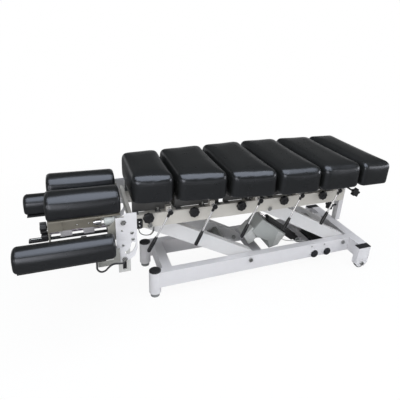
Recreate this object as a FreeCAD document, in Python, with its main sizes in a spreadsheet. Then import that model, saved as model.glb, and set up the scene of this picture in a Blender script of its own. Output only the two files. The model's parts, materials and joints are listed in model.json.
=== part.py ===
import FreeCAD, Part
import Sketcher
import math
import os
import re

# A six-section chiropractic drop table on a parallelogram lift.
# X runs from the head end to the foot end, Y from the lever side to the far side, Z up from the floor.

SIZES = {
    # Base frame
    "side_gap": 246,
    "rail_width": 40,
    "rail_height": 90,
    "rail_floor": 60,
    "tube_wall": 3,
    "post_x": -349,
    "post_spread": 272,
    "post_radius": 30,
    "post_floor": 22,
    "post_top": 150,
    "cap_lip": 3,
    "cap_dome": 6,
    "cap_spigot": 12,
    "foot_radius": 23,
    "foot_pad": 8,
    "foot_cone": 7,
    "foot_stem_radius": 8,
    "foot_stem_length": 58,
    "foot_nut_height": 14,
    "head_cross_x": -284,
    "head_cross_width": 50,
    "wheel_post_x": 876.5,
    "wheel_post_length": 87,
    "wheel_post_width": 39,
    "wheel_post_spread": 529,
    "wheel_post_floor": 14,
    "wheel_post_chamfer": 22,
    "plug_height": 4,
    "foot_cross_width": 60,
    "shelf_x": 250,
    "shelf_length": 80,
    "shelf_thickness": 3,
    "wheel_radius": 36,
    "wheel_width": 26,
    "wheel_crown": 3,
    "axle_radius": 5,
    "button_head_x": 603,
    "button_pitch": 91,
    "button_height": 84,
    "button_radius": 24,
    "button_dome": 9,
    "button_stand": 9,
    "button_stem_radius": 9,
    "button_stem_length": 16,
    "collar_radius": 29,
    "collar_height": 5,
    # Control box between the rails
    "box_x": 655,
    "box_length": 85,
    "box_width": 136,
    "box_height": 50,
    "box_corner": 8,
    "tray_x": 620,
    "tray_length": 132,
    "tray_drop": 4,
    "tray_lip": 15,
    "gland_radius": 5,
    "gland_length": 6,
    "lead_radius": 2.5,
    # Lift arms
    "arm_length": 629.1,
    "arm_angle": 29,
    "arm_depth": 75,
    "arm_width": 40,
    "arm_gap": 2,
    "head_pivot_x": 176,
    "foot_pivot_x": 810,
    "pivot_height": 125,
    "pivot_radius": 8,
    "running_gap": 0.05,
    "tie_radius": 20,
    "near_tie_reach": 150,
    "far_tie_reach": 480,
    "tie_plate_start": 66,
    "tie_plate_length": 124,
    "tie_plate_thickness": 5,
    "bolt_head_radius": 13,
    "bolt_head_height": 8,
    # Actuator
    "actuator_x": 575,
    "actuator_height": 95,
    "actuator_angle": 37.2,
    "actuator_length": 472,
    "actuator_tube_radius": 25,
    "actuator_tube_start": 34,
    "actuator_tube_end": 300,
    "actuator_eye_radius": 17,
    "actuator_eye_width": 32,
    "actuator_rod_radius": 11,
    "actuator_rod_inside": 90,
    "motor_start": 190,
    "motor_length": 165,
    "motor_depth": 90,
    "motor_width": 104,
    "motor_drop": 15,
    "motor_corner": 18,
    "gear_width": 76,
    "gear_start": 128,
    "gear_length": 62,
    "mount_cross_width": 40,
    "mount_cross_height": 40,
    "mount_cross_gap": 10,
    "ear_thickness": 6,
    "ear_gap": 0.5,
    "ear_radius": 15,
    "pin_ear_drop": 20,
    # Upper frame
    "beam_start": -450,
    "beam_end": 750,
    "beam_bottom": -12,
    "beam_height": 70,
    "beam_width": 32,
    "brace_width": 40,
    "brace_height": 30,
    "brace_drop": 18,
    "brace_head_x": -225,
    "crossbar_width": 16,
    "crossbar_height": 48,
    "knob_height": 44,
    "knob_radius": 27,
    "knob_thickness": 20,
    "knob_stand": 4,
    "knob_stem_radius": 5,
    "knob_stem_length": 26,
    "knob_lobe_radius": 7,
    # Head-end cheek plates
    "cheek_y": 196,
    "cheek_thickness": 6,
    "cheek_left": -532,
    "cheek_right": -441,
    "cheek_bottom": -142,
    "cheek_top": 98,
    "cheek_step": 18,
    "cheek_shoulder": 36,
    "cheek_corner": 40,
    "cheek_nose": 14,
    "cheek_slot_x": -504,
    "cheek_slot_z": -59,
    "cheek_slot_radius": 45,
    "cheek_slot_width": 21,
    "cheek_slot_sweep": 68,
    "cheek_hole_x": -506,
    "cheek_hole_z": 16,
    "cheek_hole_radius": 5,
    "head_pivot_top_x": -500,
    "head_pivot_top_z": 60,
    "head_pin_radius": 6,
    "slot_pin_z": -130,
    "slot_pin_radius": 8,
    # Drop sections
    "section_head": -460,
    "section_1_length": 200,
    "section_pitch": 250,
    "section_gap": 10,
    "section_half_head": 185,
    "section_half_full": 275,
    "section_taper_length": 740,
    "cushion_stand": 56,
    "cushion_height": 127,
    "cushion_corner": 40,
    "foot_section_length": 185,
    "soft_gap": 0.3,
    "lever_offset": 56,
    "lever_1_offset": 25,
    "knob_offset": 98,
    "drop_travel": 12,
    "plate_thickness": 4,
    "plate_margin": 34,
    "plate_end_gap": 6,
    "web_thickness": 3,
    "web_gap": 2,
    "drop_foot_length": 24,
    "drop_foot_width": 28,
    "drop_foot_inset": 8,
    "shaft_stand": 12,
    "shaft_radius": 7,
    "shaft_overhang": 5,
    "cam_radius": 16,
    "cam_throw": 12,
    "cam_width": 14,
    "cam_y": 60,
    "cam_phase": 120,
    "follower_width": 30,
    "block_length": 26,
    "block_width": 22,
    "block_crown": 7,
    "guide_radius": 4,
    "guide_head_radius": 7,
    "guide_head_height": 5,
    # Cocking levers
    "lever_y": 185,
    "lever_length": 222,
    "lever_lean": 24,
    "lever_1_lean": 28,
    "lever_radius": 4.5,
    "lever_hub_radius": 12,
    "lever_hub_width": 16,
    "grip_length": 84,
    "grip_radius": 9.5,
    "grip_end_radius": 7,
    "grip_tip": 6,
    # Foot section
    "column_x": 836,
    "column_y": -30,
    "column_bottom": -212,
    "column_length": 32,
    "column_width": 40,
    "column_rise": 10,
    "slide_gap": 0.6,
    "post_low": -145,
    "post_plate_length": 130,
    "post_plate_width": 300,
    "post_plate_thickness": 6,
    "clamp_height": 26,
    "clamp_stand": 88,
    "column_knob_height": -113,
    "column_knob_stand": 40,
    "star_radius": 26,
    "star_thickness": 24,
    "star_stem_radius": 5,
    # Head section
    "head_end": -805,
    "head_start": -500,
    "head_bottom": 82,
    "head_height": 98,
    "head_inner": 30,
    "head_outer": 170,
    "head_corner": 34,
    "head_plate_thickness": 6,
    "head_side_y": 182,
    "head_side_reach": 18,
    "head_block_x": -563,
    "head_block_length": 34,
    "head_block_bottom": -32,
    "head_block_height": 64,
    "rod_y": 120,
    "rod_height": 10,
    "rod_radius": 10,
    "rod_reach": 234,
    "end_plate_thickness": 6,
    "end_plate_bottom": -36,
    "end_plate_height": 92,
    "slider_length": 46,
    "slider_width": 44,
    "slider_bottom": -6,
    "slider_head_x": -732,
    "slider_foot_x": -640,
    "head_knob_height": 38,
    "release_height": -20,
    "release_radius": 7,
    "release_gap": 3,
    "handle_length": 74,
    "handle_width": 26,
    "handle_height": 9,
    # Armrests
    "armrest_end": -930,
    "armrest_start": -540,
    "armrest_inner": 194,
    "armrest_outer": 298,
    "armrest_bottom": -63,
    "armrest_height": 93,
    "armrest_corner_share": 0.29,
    "bracket_thickness": 6,
    "bracket_bottom": -208,
    "bracket_length": 54,
    "bracket_slot_low": -194,
    "bracket_slot_high": -80,
    "bracket_strap": 34,
    "bracket_reach": 70,
    "bracket_inset": 14,
    # Rocker switch
    "rocker_x": -422.5,
    "rocker_rise": 26,
    "rocker_length": 23,
    "rocker_tall": 40,
    "rocker_stand": 3.5,
    "rocker_depth": 12,
    "rocker_gap": 2.5,
    "rocker_side_gap": 0.5,
    "rocker_pin_radius": 2.5,
    "rocker_pin_depth": 2.5,
    # Shared
    "overrun": 2,
}

os.makedirs("parts", exist_ok=True)
doc = FreeCAD.newDocument("chiropractic_table")
sheet = doc.addObject("Spreadsheet::Sheet", "Sizes")
for row, (alias, value) in enumerate(SIZES.items(), start=1):
    sheet.set(f"A{row}", alias)
    sheet.set(f"B{row}", str(value))
    sheet.setAlias(f"B{row}", alias)
doc.recompute()

NODES = []


def linked(text):
    """The expression with each size's name pointing at its cell."""
    return re.sub(r"[a-z]\w*",
                  lambda word: "Sizes." + word.group() if word.group() in SIZES else word.group(),
                  str(text))


def worth(text):
    """The number that an expression stands for."""
    value = sheet.evalExpression(linked(text))
    return float(getattr(value, "Value", value))


def bind(item, prop, text):
    item.setExpression(prop, linked(text))


def place(item, at, axis=None, angle=None):
    if axis:
        item.Placement = FreeCAD.Placement(FreeCAD.Vector(), FreeCAD.Rotation(FreeCAD.Vector(*axis), 1))
        bind(item, "Placement.Rotation.Angle", angle)
    for name, text in zip("xyz", at):
        bind(item, "Placement.Base." + name, text)
    return item


def block(name, low, size):
    item = doc.addObject("Part::Box", name)
    for prop, text in zip(("Length", "Width", "Height"), size):
        bind(item, prop, text)
    return place(item, low)


def rod(name, at, radius, length, along="z"):
    item = doc.addObject("Part::Cylinder", name)
    bind(item, "Radius", radius)
    bind(item, "Height", length)
    turns = {"x": ((0, 1, 0), "90"), "y": ((1, 0, 0), "-90"), "z": (None, None)}
    return place(item, at, *turns[along])


def cone(name, at, low_radius, high_radius, length, along="z"):
    item = doc.addObject("Part::Cone", name)
    bind(item, "Radius1", low_radius)
    bind(item, "Radius2", high_radius)
    bind(item, "Height", length)
    turns = {"x": ((0, 1, 0), "90"), "y": ((1, 0, 0), "-90"), "z": (None, None)}
    return place(item, at, *turns[along])


def hexagon(name, at, radius, length, along="y"):
    item = doc.addObject("Part::Prism", name)
    item.Polygon = 6
    bind(item, "Circumradius", radius)
    bind(item, "Height", length)
    turns = {"y": ((1, 0, 0), "-90"), "z": (None, None)}
    return place(item, at, *turns[along])


def fuse(name, *items):
    item = doc.addObject("Part::MultiFuse", name)
    item.Shapes = list(items)
    return item


def cut(name, base, *tools):
    item = doc.addObject("Part::Cut", name)
    item.Base = base
    item.Tool = tools[0] if len(tools) == 1 else fuse(name + "_tools", *tools)
    return item


def gather(name, *items):
    item = doc.addObject("Part::Compound", name)
    item.Links = list(items)
    return item


def far_side(item):
    """The same piece on the other side of the table."""
    twin = doc.addObject("Part::Mirroring", item.Name + "_far")
    twin.Source = item
    twin.Normal = FreeCAD.Vector(0, 1, 0)
    return twin


def pair(name, item):
    return gather(name, item, far_side(item))


def node(label, item):
    """Names a finished sub-part; the label is its file's name."""
    item.Label = label
    NODES.append(item)
    return item


def upper_node(label, item):
    """A finished sub-part of the top, which stands on the arms' upper pivots."""
    item.Label = label + "_shape"
    return node(label, place(gather(label + "_raised", item), ("0", "0", PIVOT_TOP_Z)))


def body_plane(body, role):
    return next(item for item in body.Origin.OriginFeatures if item.Role == role)


def outline(body, name, role, points, circles=()):
    """A sketch whose corners and circles are tied to the sheet; points are (across, up) expressions."""
    sketch = body.newObject("Sketcher::SketchObject", name)
    sketch.AttachmentSupport = [(body_plane(body, role), "")]
    sketch.MapMode = "FlatFace"
    corners = [FreeCAD.Vector(worth(across), worth(up), 0) for across, up in points]
    count = len(corners)
    for index, corner in enumerate(corners):
        sketch.addGeometry(Part.LineSegment(corner, corners[(index + 1) % count]))
    for index in range(count):
        sketch.addConstraint(Sketcher.Constraint("Coincident", index, 2, (index + 1) % count, 1))
    for index, (across, up) in enumerate(points):
        for kind, text in (("DistanceX", across), ("DistanceY", up)):
            number = sketch.addConstraint(Sketcher.Constraint(kind, -1, 1, index, 1, worth(text)))
            bind(sketch, f"Constraints[{number}]", text)
    for across, up, radius in circles:
        centre = FreeCAD.Vector(worth(across), worth(up), 0)
        ring = sketch.addGeometry(Part.Circle(centre, FreeCAD.Vector(0, 0, 1), worth(radius)))
        for kind, text in (("DistanceX", across), ("DistanceY", up)):
            number = sketch.addConstraint(Sketcher.Constraint(kind, -1, 1, ring, 3, worth(text)))
            bind(sketch, f"Constraints[{number}]", text)
        number = sketch.addConstraint(Sketcher.Constraint("Radius", ring, worth(radius)))
        bind(sketch, f"Constraints[{number}]", radius)
    return sketch


def padded(name, role, points, thickness, circles=(), midplane=False):
    """A plate or bar: an outline pushed out square to its plane."""
    body = doc.addObject("PartDesign::Body", name)
    pad = body.newObject("PartDesign::Pad", name + "_pad")
    pad.Profile = outline(body, name + "_outline", role, points, circles)
    pad.Midplane = midplane
    bind(pad, "Length", thickness)
    return body


def turned(name, points):
    """A body of revolution about its own Z axis; points are (radius, height) expressions."""
    body = doc.addObject("PartDesign::Body", name)
    sketch = outline(body, name + "_outline", "XZ_Plane", points)
    revolution = body.newObject("PartDesign::Revolution", name + "_revolution")
    revolution.Profile = sketch
    revolution.ReferenceAxis = (sketch, ["V_Axis"])
    return body


def box_tube(name, low, size, along, open_ends=(True, True)):
    """A rectangular tube, with its bore running out of each open end."""
    hole_low = []
    hole_size = []
    for axis, start, length in zip("xyz", low, size):
        if axis == along:
            before = "overrun" if open_ends[0] else "-tube_wall"
            after = "overrun" if open_ends[1] else "-tube_wall"
            hole_low.append(f"({start}) - ({before})")
            hole_size.append(f"({length}) + ({before}) + ({after})")
        else:
            hole_low.append(f"({start}) + tube_wall")
            hole_size.append(f"({length}) - 2 * tube_wall")
    return cut(name, block(name + "_skin", low, size), block(name + "_bore", hole_low, hole_size))


def soft_loop(left, right, half_left, half_right, centre, height, corner):
    """A four-sided outline at one height, its corners rounded by arcs."""
    corners = [FreeCAD.Vector(left, centre - half_left, height),
               FreeCAD.Vector(right, centre - half_right, height),
               FreeCAD.Vector(right, centre + half_right, height),
               FreeCAD.Vector(left, centre + half_left, height)]
    rounds = []
    for index, point in enumerate(corners):
        back = (corners[index - 1] - point).normalize()
        ahead = (corners[(index + 1) % len(corners)] - point).normalize()
        half = back.getAngle(ahead) / 2
        reach = corner / math.tan(half)
        inward = (back + ahead).normalize()
        middle = point + inward * (corner / math.sin(half) - corner)
        rounds.append((point + back * reach, middle, point + ahead * reach))
    edges = []
    for index, (start, middle, end) in enumerate(rounds):
        edges.append(Part.Arc(start, middle, end).toShape())
        edges.append(Part.makeLine(end, rounds[(index + 1) % len(rounds)][0]))
    return Part.Wire(edges)


# Height share, inset share and corner share of each ring of a cushion, from its base to its crown
CUSHION_SHARES = ((0, 0.16, 0.9), (0.1, 0.04, 1), (0.3, 0, 1), (0.62, 0, 1), (0.76, 0.06, 1),
                  (0.86, 0.22, 0.96), (0.93, 0.5, 0.9), (0.97, 0.9, 0.8), (1, 2, 0.6))
HEAD_PAD_SHARES = ((0, 0.1, 0.9), (0.12, 0, 1), (0.4, 0.04, 1), (0.62, 0.22, 0.95),
                   (0.8, 0.52, 0.82), (0.92, 0.9, 0.66), (1, 1.5, 0.5))


def cushion(name, left, right, half_left, half_right, centre, bottom, height, corner, shares):
    """An upholstered pad: drawn in at its base, full at its sides and crowned on top."""
    low, high, radius = worth(bottom), worth(height), worth(corner)
    rings = []
    for height_share, inset_share, corner_share in shares:
        inset = inset_share * radius * 0.5
        rings.append(soft_loop(worth(left) + inset, worth(right) - inset, worth(half_left) - inset,
                               worth(half_right) - inset, worth(centre), low + high * height_share,
                               radius * corner_share))
    item = doc.addObject("Part::Feature", name)
    item.Shape = Part.makeLoft(rings, True, True)
    return item


def hex_bolt(name, at, length, radius="pivot_radius"):
    """A bolt along Y with its hexagon head at the near end and a nut at the far end."""
    across, depth, up = at
    ends = [hexagon(f"{name}_{end}", (across, start, up), "bolt_head_radius", "bolt_head_height")
            for end, start in (("head", f"({depth}) - bolt_head_height"),
                               ("nut", f"({depth}) + ({length})"))]
    return fuse(name, ends[0], rod(name + "_shank", at, radius, length, "y"), ends[1])


def lobed_knob(name, at, along, lobes, radius, thickness, stem_radius, stem_length):
    """A knob with a ring of lobes round a hub, and a threaded stem; it faces away from the stem."""
    hub = rod(name + "_hub", ("0", "0", "0"), f"({radius}) - knob_lobe_radius", thickness)
    pieces = [hub]
    for index in range(lobes):
        turn = 360 * index / lobes
        reach = f"(({radius}) - knob_lobe_radius)"
        pieces.append(rod(f"{name}_lobe_{index}", (f"{reach} * cos({turn})", f"{reach} * sin({turn})", "0"),
                          "knob_lobe_radius", thickness))
    pieces.append(rod(name + "_stem", ("0", "0", f"-({stem_length})"), stem_radius, stem_length))
    knob = fuse(name, *pieces)
    turns = {"-y": ((1, 0, 0), "90"), "-x": ((0, 1, 0), "-90")}
    return place(knob, at, *turns[along])


HALF_GAP = "side_gap / 2"
WHEEL_POST_LEFT = "(wheel_post_x - wheel_post_length / 2)"
RAIL_END = "(wheel_post_x + wheel_post_length / 2 - foot_cross_width)"
BEAM_TOP = "(beam_bottom + beam_height)"
SHAFT_Z = "(beam_bottom + beam_height + shaft_stand)"
CUSHION_BOTTOM = "(beam_bottom + beam_height + shaft_stand + cushion_stand)"
HEAD_TOP_X = "(head_pivot_x - arm_length * cos(arm_angle))"
FOOT_TOP_X = "(foot_pivot_x - arm_length * cos(arm_angle))"
PIVOT_TOP_Z = "(pivot_height + arm_length * sin(arm_angle))"
ARM_OUTER = "(side_gap / 2 - arm_gap)"
ARM_INNER = "(side_gap / 2 - arm_gap - arm_width)"
PLATE_TOP = "(beam_bottom + beam_height + shaft_stand + cushion_stand - soft_gap)"
BRACE_TOP = "(beam_bottom + beam_height - brace_drop)"
HANGER_X = "(actuator_x - actuator_length * cos(actuator_angle))"
PIN_Z = f"(actuator_height + actuator_length * sin(actuator_angle) - {PIVOT_TOP_Z})"
WEB_FLOOR = "(beam_bottom + beam_height + soft_gap)"
CHEEK_INNER = "cheek_y"
CHEEK_OUTER = "(cheek_y + cheek_thickness)"


def base_frame():
    post = cut("post", rod("post_skin", ("post_x", "-post_spread / 2", "post_floor"), "post_radius",
                           "post_top - post_floor"),
               rod("post_bore", ("post_x", "-post_spread / 2", "post_floor + foot_nut_height"),
                   "post_radius - tube_wall", "post_top - post_floor - foot_nut_height + overrun"),
               rod("post_thread", ("post_x", "-post_spread / 2", "post_floor - overrun"),
                   "foot_stem_radius + running_gap", "foot_nut_height + 2 * overrun"))
    rail_low = ("post_x", f"-{HALF_GAP} - rail_width", "rail_floor")
    rail_tube = box_tube("rail_tube", rail_low, (f"{RAIL_END} - post_x", "rail_width", "rail_height"), "x")
    holes = [rod("rail_cope", ("post_x", "-post_spread / 2", "rail_floor - overrun"), "post_radius",
                 "rail_height + 2 * overrun")]
    for index, across in enumerate(("head_pivot_x", "foot_pivot_x")):
        holes.append(rod(f"rail_hole_{index}",
                         (across, f"-{HALF_GAP} - rail_width - overrun", "pivot_height"),
                         "pivot_radius + running_gap", "rail_width + 2 * overrun", "y"))
    for index in range(2):
        holes.append(rod(f"rail_button_{index}",
                         (f"button_head_x + {index} * button_pitch", f"-{HALF_GAP} - rail_width - overrun",
                          "button_height"), "button_stem_radius + running_gap", "tube_wall + 2 * overrun",
                          "y"))
    front_rail = cut("front_rail", rail_tube, *holes)
    rear_rail = far_side(cut("plain_rail", rail_tube, *holes[:3]))
    collars = []
    for index in range(2):
        at = (f"button_head_x + {index} * button_pitch", f"-{HALF_GAP} - rail_width - collar_height",
              "button_height")
        ring = cone(f"collar_skin_{index}", at, "collar_radius - collar_height / 2", "collar_radius",
                    "collar_height", "y")
        well = rod(f"collar_bore_{index}", (at[0], f"{at[1]} - overrun", at[2]),
                   "button_radius + slide_gap",
                   "collar_height + 2 * overrun", "y")
        collars.append(cut(f"collar_{index}", ring, well))
    head_cross = box_tube("head_cross",
                          ("head_cross_x - head_cross_width / 2", f"-{HALF_GAP}", "rail_floor"),
                          ("head_cross_width", "side_gap", "rail_height"), "y")
    foot_cross = box_tube("foot_cross",
                          (RAIL_END, "-(wheel_post_spread - wheel_post_width) / 2", "rail_floor"),
                          ("foot_cross_width", "wheel_post_spread - wheel_post_width", "rail_height"), "y")
    post_low = (WHEEL_POST_LEFT, "-(wheel_post_spread + wheel_post_width) / 2", "wheel_post_floor")
    wheel_tube = box_tube("wheel_tube", post_low,
                          ("wheel_post_length", "wheel_post_width",
                           "post_top - plug_height - wheel_post_floor"), "z")
    notches = []
    for index, (corner, lean) in enumerate(((WHEEL_POST_LEFT, "45"),
                                            (f"({WHEEL_POST_LEFT} + wheel_post_length)", "45"))):
        notch = block(f"wheel_notch_{index}", ("0", "0", "0"),
                      ("wheel_post_chamfer * sqrt(2)", "wheel_post_width + 2 * overrun",
                       "wheel_post_chamfer * sqrt(2)"))
        place(notch, (f"{corner} - wheel_post_chamfer",
                      "-(wheel_post_spread + wheel_post_width) / 2 - overrun", "wheel_post_floor"),
                      (0, 1, 0), lean)
        notches.append(notch)
    axle = rod("wheel_axle_hole", ("wheel_post_x", "-(wheel_post_spread + wheel_post_width) / 2 - overrun",
                                   "wheel_radius"),
               "axle_radius + running_gap", "wheel_post_width + 2 * overrun", "y")
    wheel_post = cut("wheel_post", wheel_tube, *notches, axle)
    mount_x = "(actuator_x + actuator_eye_radius + mount_cross_gap)"
    mount = box_tube("mount_cross", (mount_x, f"-{HALF_GAP}", "rail_floor"),
                     ("mount_cross_width", "side_gap", "mount_cross_height"), "y")
    ear_y = "-actuator_eye_width / 2 - ear_gap - ear_thickness"
    ear = cut("mount_ear",
              fuse("mount_ear_body",
                   block("mount_ear_plate", ("actuator_x", ear_y, "actuator_height - ear_radius"),
                         (f"{mount_x} - actuator_x", "ear_thickness", "2 * ear_radius")),
                   rod("mount_ear_round", ("actuator_x", ear_y, "actuator_height"), "ear_radius",
                       "ear_thickness", "y")),
              rod("mount_ear_hole", ("actuator_x", f"{ear_y} - overrun", "actuator_height"),
                  "pivot_radius + running_gap", "ear_thickness + 2 * overrun", "y"))
    shelf = block("shelf", ("shelf_x", f"-{HALF_GAP}", "rail_floor"),
                  ("shelf_length", "side_gap", "shelf_thickness"))
    return node("base_frame",
                gather("base_frame", pair("posts", post), front_rail, rear_rail, *collars, head_cross,
                                     foot_cross, shelf, pair("wheel_posts", wheel_post), mount,
                                     pair("mount_ears", ear)))


def tube_caps():
    dome = turned("post_cap",
                  (("0", "-cap_spigot"), ("post_radius - tube_wall - running_gap", "-cap_spigot"),
                               ("post_radius - tube_wall - running_gap", "0"), ("post_radius", "0"),
                               ("post_radius", "cap_lip"),
                               ("post_radius * 0.7", "cap_lip + cap_dome * 0.7"),
                               ("post_radius * 0.3", "cap_lip + cap_dome"), ("0", "cap_lip + cap_dome")))
    place(dome, ("post_x", "-post_spread / 2", "post_top"))
    lid = block("plug_lid",
                (WHEEL_POST_LEFT, "-(wheel_post_spread + wheel_post_width) / 2", "post_top - plug_height"),
                ("wheel_post_length", "wheel_post_width", "plug_height"))
    spigot = block("plug_spigot", (f"{WHEEL_POST_LEFT} + tube_wall + running_gap",
                                   "-(wheel_post_spread + wheel_post_width) / 2 + tube_wall + running_gap",
                                   "post_top - plug_height - cap_spigot"),
                   ("wheel_post_length - 2 * (tube_wall + running_gap)",
                    "wheel_post_width - 2 * (tube_wall + running_gap)", "cap_spigot"))
    return node("tube_caps",
                gather("tube_caps", pair("post_caps", dome), pair("plugs", fuse("plug", lid, spigot))))


def levelling_feet():
    for label, side in (("levelling_foot_front", "-"), ("levelling_foot_rear", "")):
        foot = turned(label, (("0", "0"), ("foot_radius", "0"), ("foot_radius", "foot_pad * 0.6"),
                              ("foot_radius * 0.86", "foot_pad"),
                              ("foot_stem_radius * 1.5", "foot_pad + foot_cone"),
                              ("foot_stem_radius", "foot_pad + foot_cone"),
                              ("foot_stem_radius", "foot_pad + foot_stem_length"),
                              ("0", "foot_pad + foot_stem_length")))
        node(label, place(foot, ("post_x", f"{side}post_spread / 2", "0")))


def wheels():
    half = "wheel_width / 2"
    for label, side in (("wheel_front", "-"), ("wheel_rear", "")):
        wheel = turned(label,
                       (("axle_radius + running_gap", f"-{half}"), ("wheel_radius * 0.5", f"-{half}"),
                               ("wheel_radius * 0.6", f"-{half} * 0.7"),
                               ("wheel_radius * 0.76", f"-{half} * 0.7"),
                               ("wheel_radius * 0.8", f"-{half}"),
                               ("wheel_radius - wheel_crown", f"-{half}"),
                               ("wheel_radius", f"-{half} + wheel_crown"),
                               ("wheel_radius", f"{half} - wheel_crown"),
                               ("wheel_radius - wheel_crown", half), ("wheel_radius * 0.8", half),
                               ("wheel_radius * 0.76", f"{half} * 0.7"),
                               ("wheel_radius * 0.6", f"{half} * 0.7"),
                               ("wheel_radius * 0.5", half), ("axle_radius + running_gap", half)))
        node(label, place(wheel, ("wheel_post_x", f"{side}wheel_post_spread / 2", "wheel_radius"),
                          (1, 0, 0), "90"))


def base_bolts():
    near = f"-{HALF_GAP} - rail_width"
    reach = f"rail_width + {HALF_GAP} - {ARM_INNER}"
    bolts = [pair("head_pivots", hex_bolt("head_pivot", ("head_pivot_x", near, "pivot_height"), reach)),
             pair("foot_pivots", hex_bolt("foot_pivot", ("foot_pivot_x", near, "pivot_height"), reach)),
             pair("axles", hex_bolt("axle", ("wheel_post_x", "-(wheel_post_spread + wheel_post_width) / 2",
                                             "wheel_radius"), "wheel_post_width", "axle_radius")),
             hex_bolt("actuator_pin", ("actuator_x", "-actuator_eye_width / 2 - ear_gap - ear_thickness",
                                       "actuator_height"),
                                       "actuator_eye_width + 2 * (ear_gap + ear_thickness)")]
    return node("base_bolts", gather("base_bolts", *bolts))


def control_box():
    tray = block("tray", ("tray_x", f"-{HALF_GAP} - tray_lip", "rail_floor - tray_drop"),
                 ("tray_length", "side_gap + 2 * tray_lip", "tray_drop"))
    case = block("case", ("box_x", "-box_width / 2", "rail_floor"),
                 ("box_length", "box_width", "box_height"))
    rounded = doc.addObject("Part::Fillet", "case_rounded")
    rounded.Base = case
    doc.recompute()
    edges = []
    for number, edge in enumerate(case.Shape.Edges, start=1):
        ends = [vertex.Z for vertex in edge.Vertexes]
        if max(ends) > worth("rail_floor") + worth("box_height") / 2:
            edges.append((number, worth("box_corner"), worth("box_corner")))
    rounded.Edges = edges
    glands = [rod(f"gland_{index}", (f"box_x + box_length * {share}", "-box_width / 2 - gland_length",
                                     "rail_floor + box_height * 0.6"), "gland_radius",
                  "gland_length + overrun", "y") for index, share in enumerate((0.2, 0.7))]
    return node("control_box", fuse("control_box", tray, rounded, *glands))


def buttons():
    for index, label in enumerate(("up_button", "down_button")):
        cap = turned(label, (("0", "-button_stem_length"), ("button_stem_radius", "-button_stem_length"),
                             ("button_stem_radius", "collar_height + overrun"),
                             ("button_radius", "collar_height + overrun"),
                             ("button_radius", "button_stand"),
                             ("button_radius * 0.92", "button_stand + button_dome * 0.45"),
                             ("button_radius * 0.7", "button_stand + button_dome * 0.78"),
                             ("button_radius * 0.38", "button_stand + button_dome * 0.96"),
                             ("0", "button_stand + button_dome")))
        node(label, place(cap, (f"button_head_x + {index} * button_pitch", f"-{HALF_GAP} - rail_width",
                                "button_height"), (1, 0, 0), "90"))


def lift_arm(label, pivot):
    """A frame of two tubes with rounded ends, tied across and swinging about its lower pivot."""
    half = "arm_depth / 2"
    sides = []
    for name, radius, length in (("skin", half, "arm_width"),
                                 ("bore", f"{half} - tube_wall", "arm_width - 2 * tube_wall")):
        inset = "0" if name == "skin" else "tube_wall"
        pieces = [rod(f"{label}_{name}_low", ("0", f"-{ARM_OUTER} + {inset}", "0"), radius, length, "y"),
                  rod(f"{label}_{name}_high", ("-arm_length", f"-{ARM_OUTER} + {inset}", "0"), radius,
                      length, "y"),
                  block(f"{label}_{name}_run", ("-arm_length", f"-{ARM_OUTER} + {inset}", f"-({radius})"),
                        ("arm_length", length, f"2 * ({radius})"))]
        sides.append(fuse(f"{label}_{name}", *pieces))
    bushes = []
    holes = []
    for index, along in enumerate(("0", "-arm_length")):
        bushes.append(rod(f"{label}_bush_{index}", (along, f"-{ARM_OUTER}", "0"),
                          "pivot_radius + 2 * tube_wall",
                          "arm_width", "y"))
        holes.append(rod(f"{label}_hole_{index}", (along, f"-{ARM_OUTER} - overrun", "0"),
                         "pivot_radius + running_gap", "arm_width + 2 * overrun", "y"))
    hollow = cut(label + "_hollow", *sides)
    side = cut(label + "_side", fuse(label + "_bushed", hollow, *bushes), *holes)
    ties = [rod(f"{label}_tie_{index}", (f"-({along})", f"-{ARM_INNER}", "0"), "tie_radius",
                f"2 * {ARM_INNER}", "y")
            for index, along in enumerate(("near_tie_reach", "far_tie_reach"))]
    plate = block(label + "_tie_plate", ("-tie_plate_start - tie_plate_length", f"-{ARM_INNER}",
                                         "-tie_plate_thickness / 2 - tie_radius"),
                  ("tie_plate_length", f"2 * {ARM_INNER}", "tie_plate_thickness"))
    arm = gather(label, pair(label + "_sides", side), fuse(label + "_ties", ties[0], plate), ties[1])
    return node(label, place(arm, (pivot, "0", "pivot_height"), (0, 1, 0), "arm_angle"))


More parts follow.
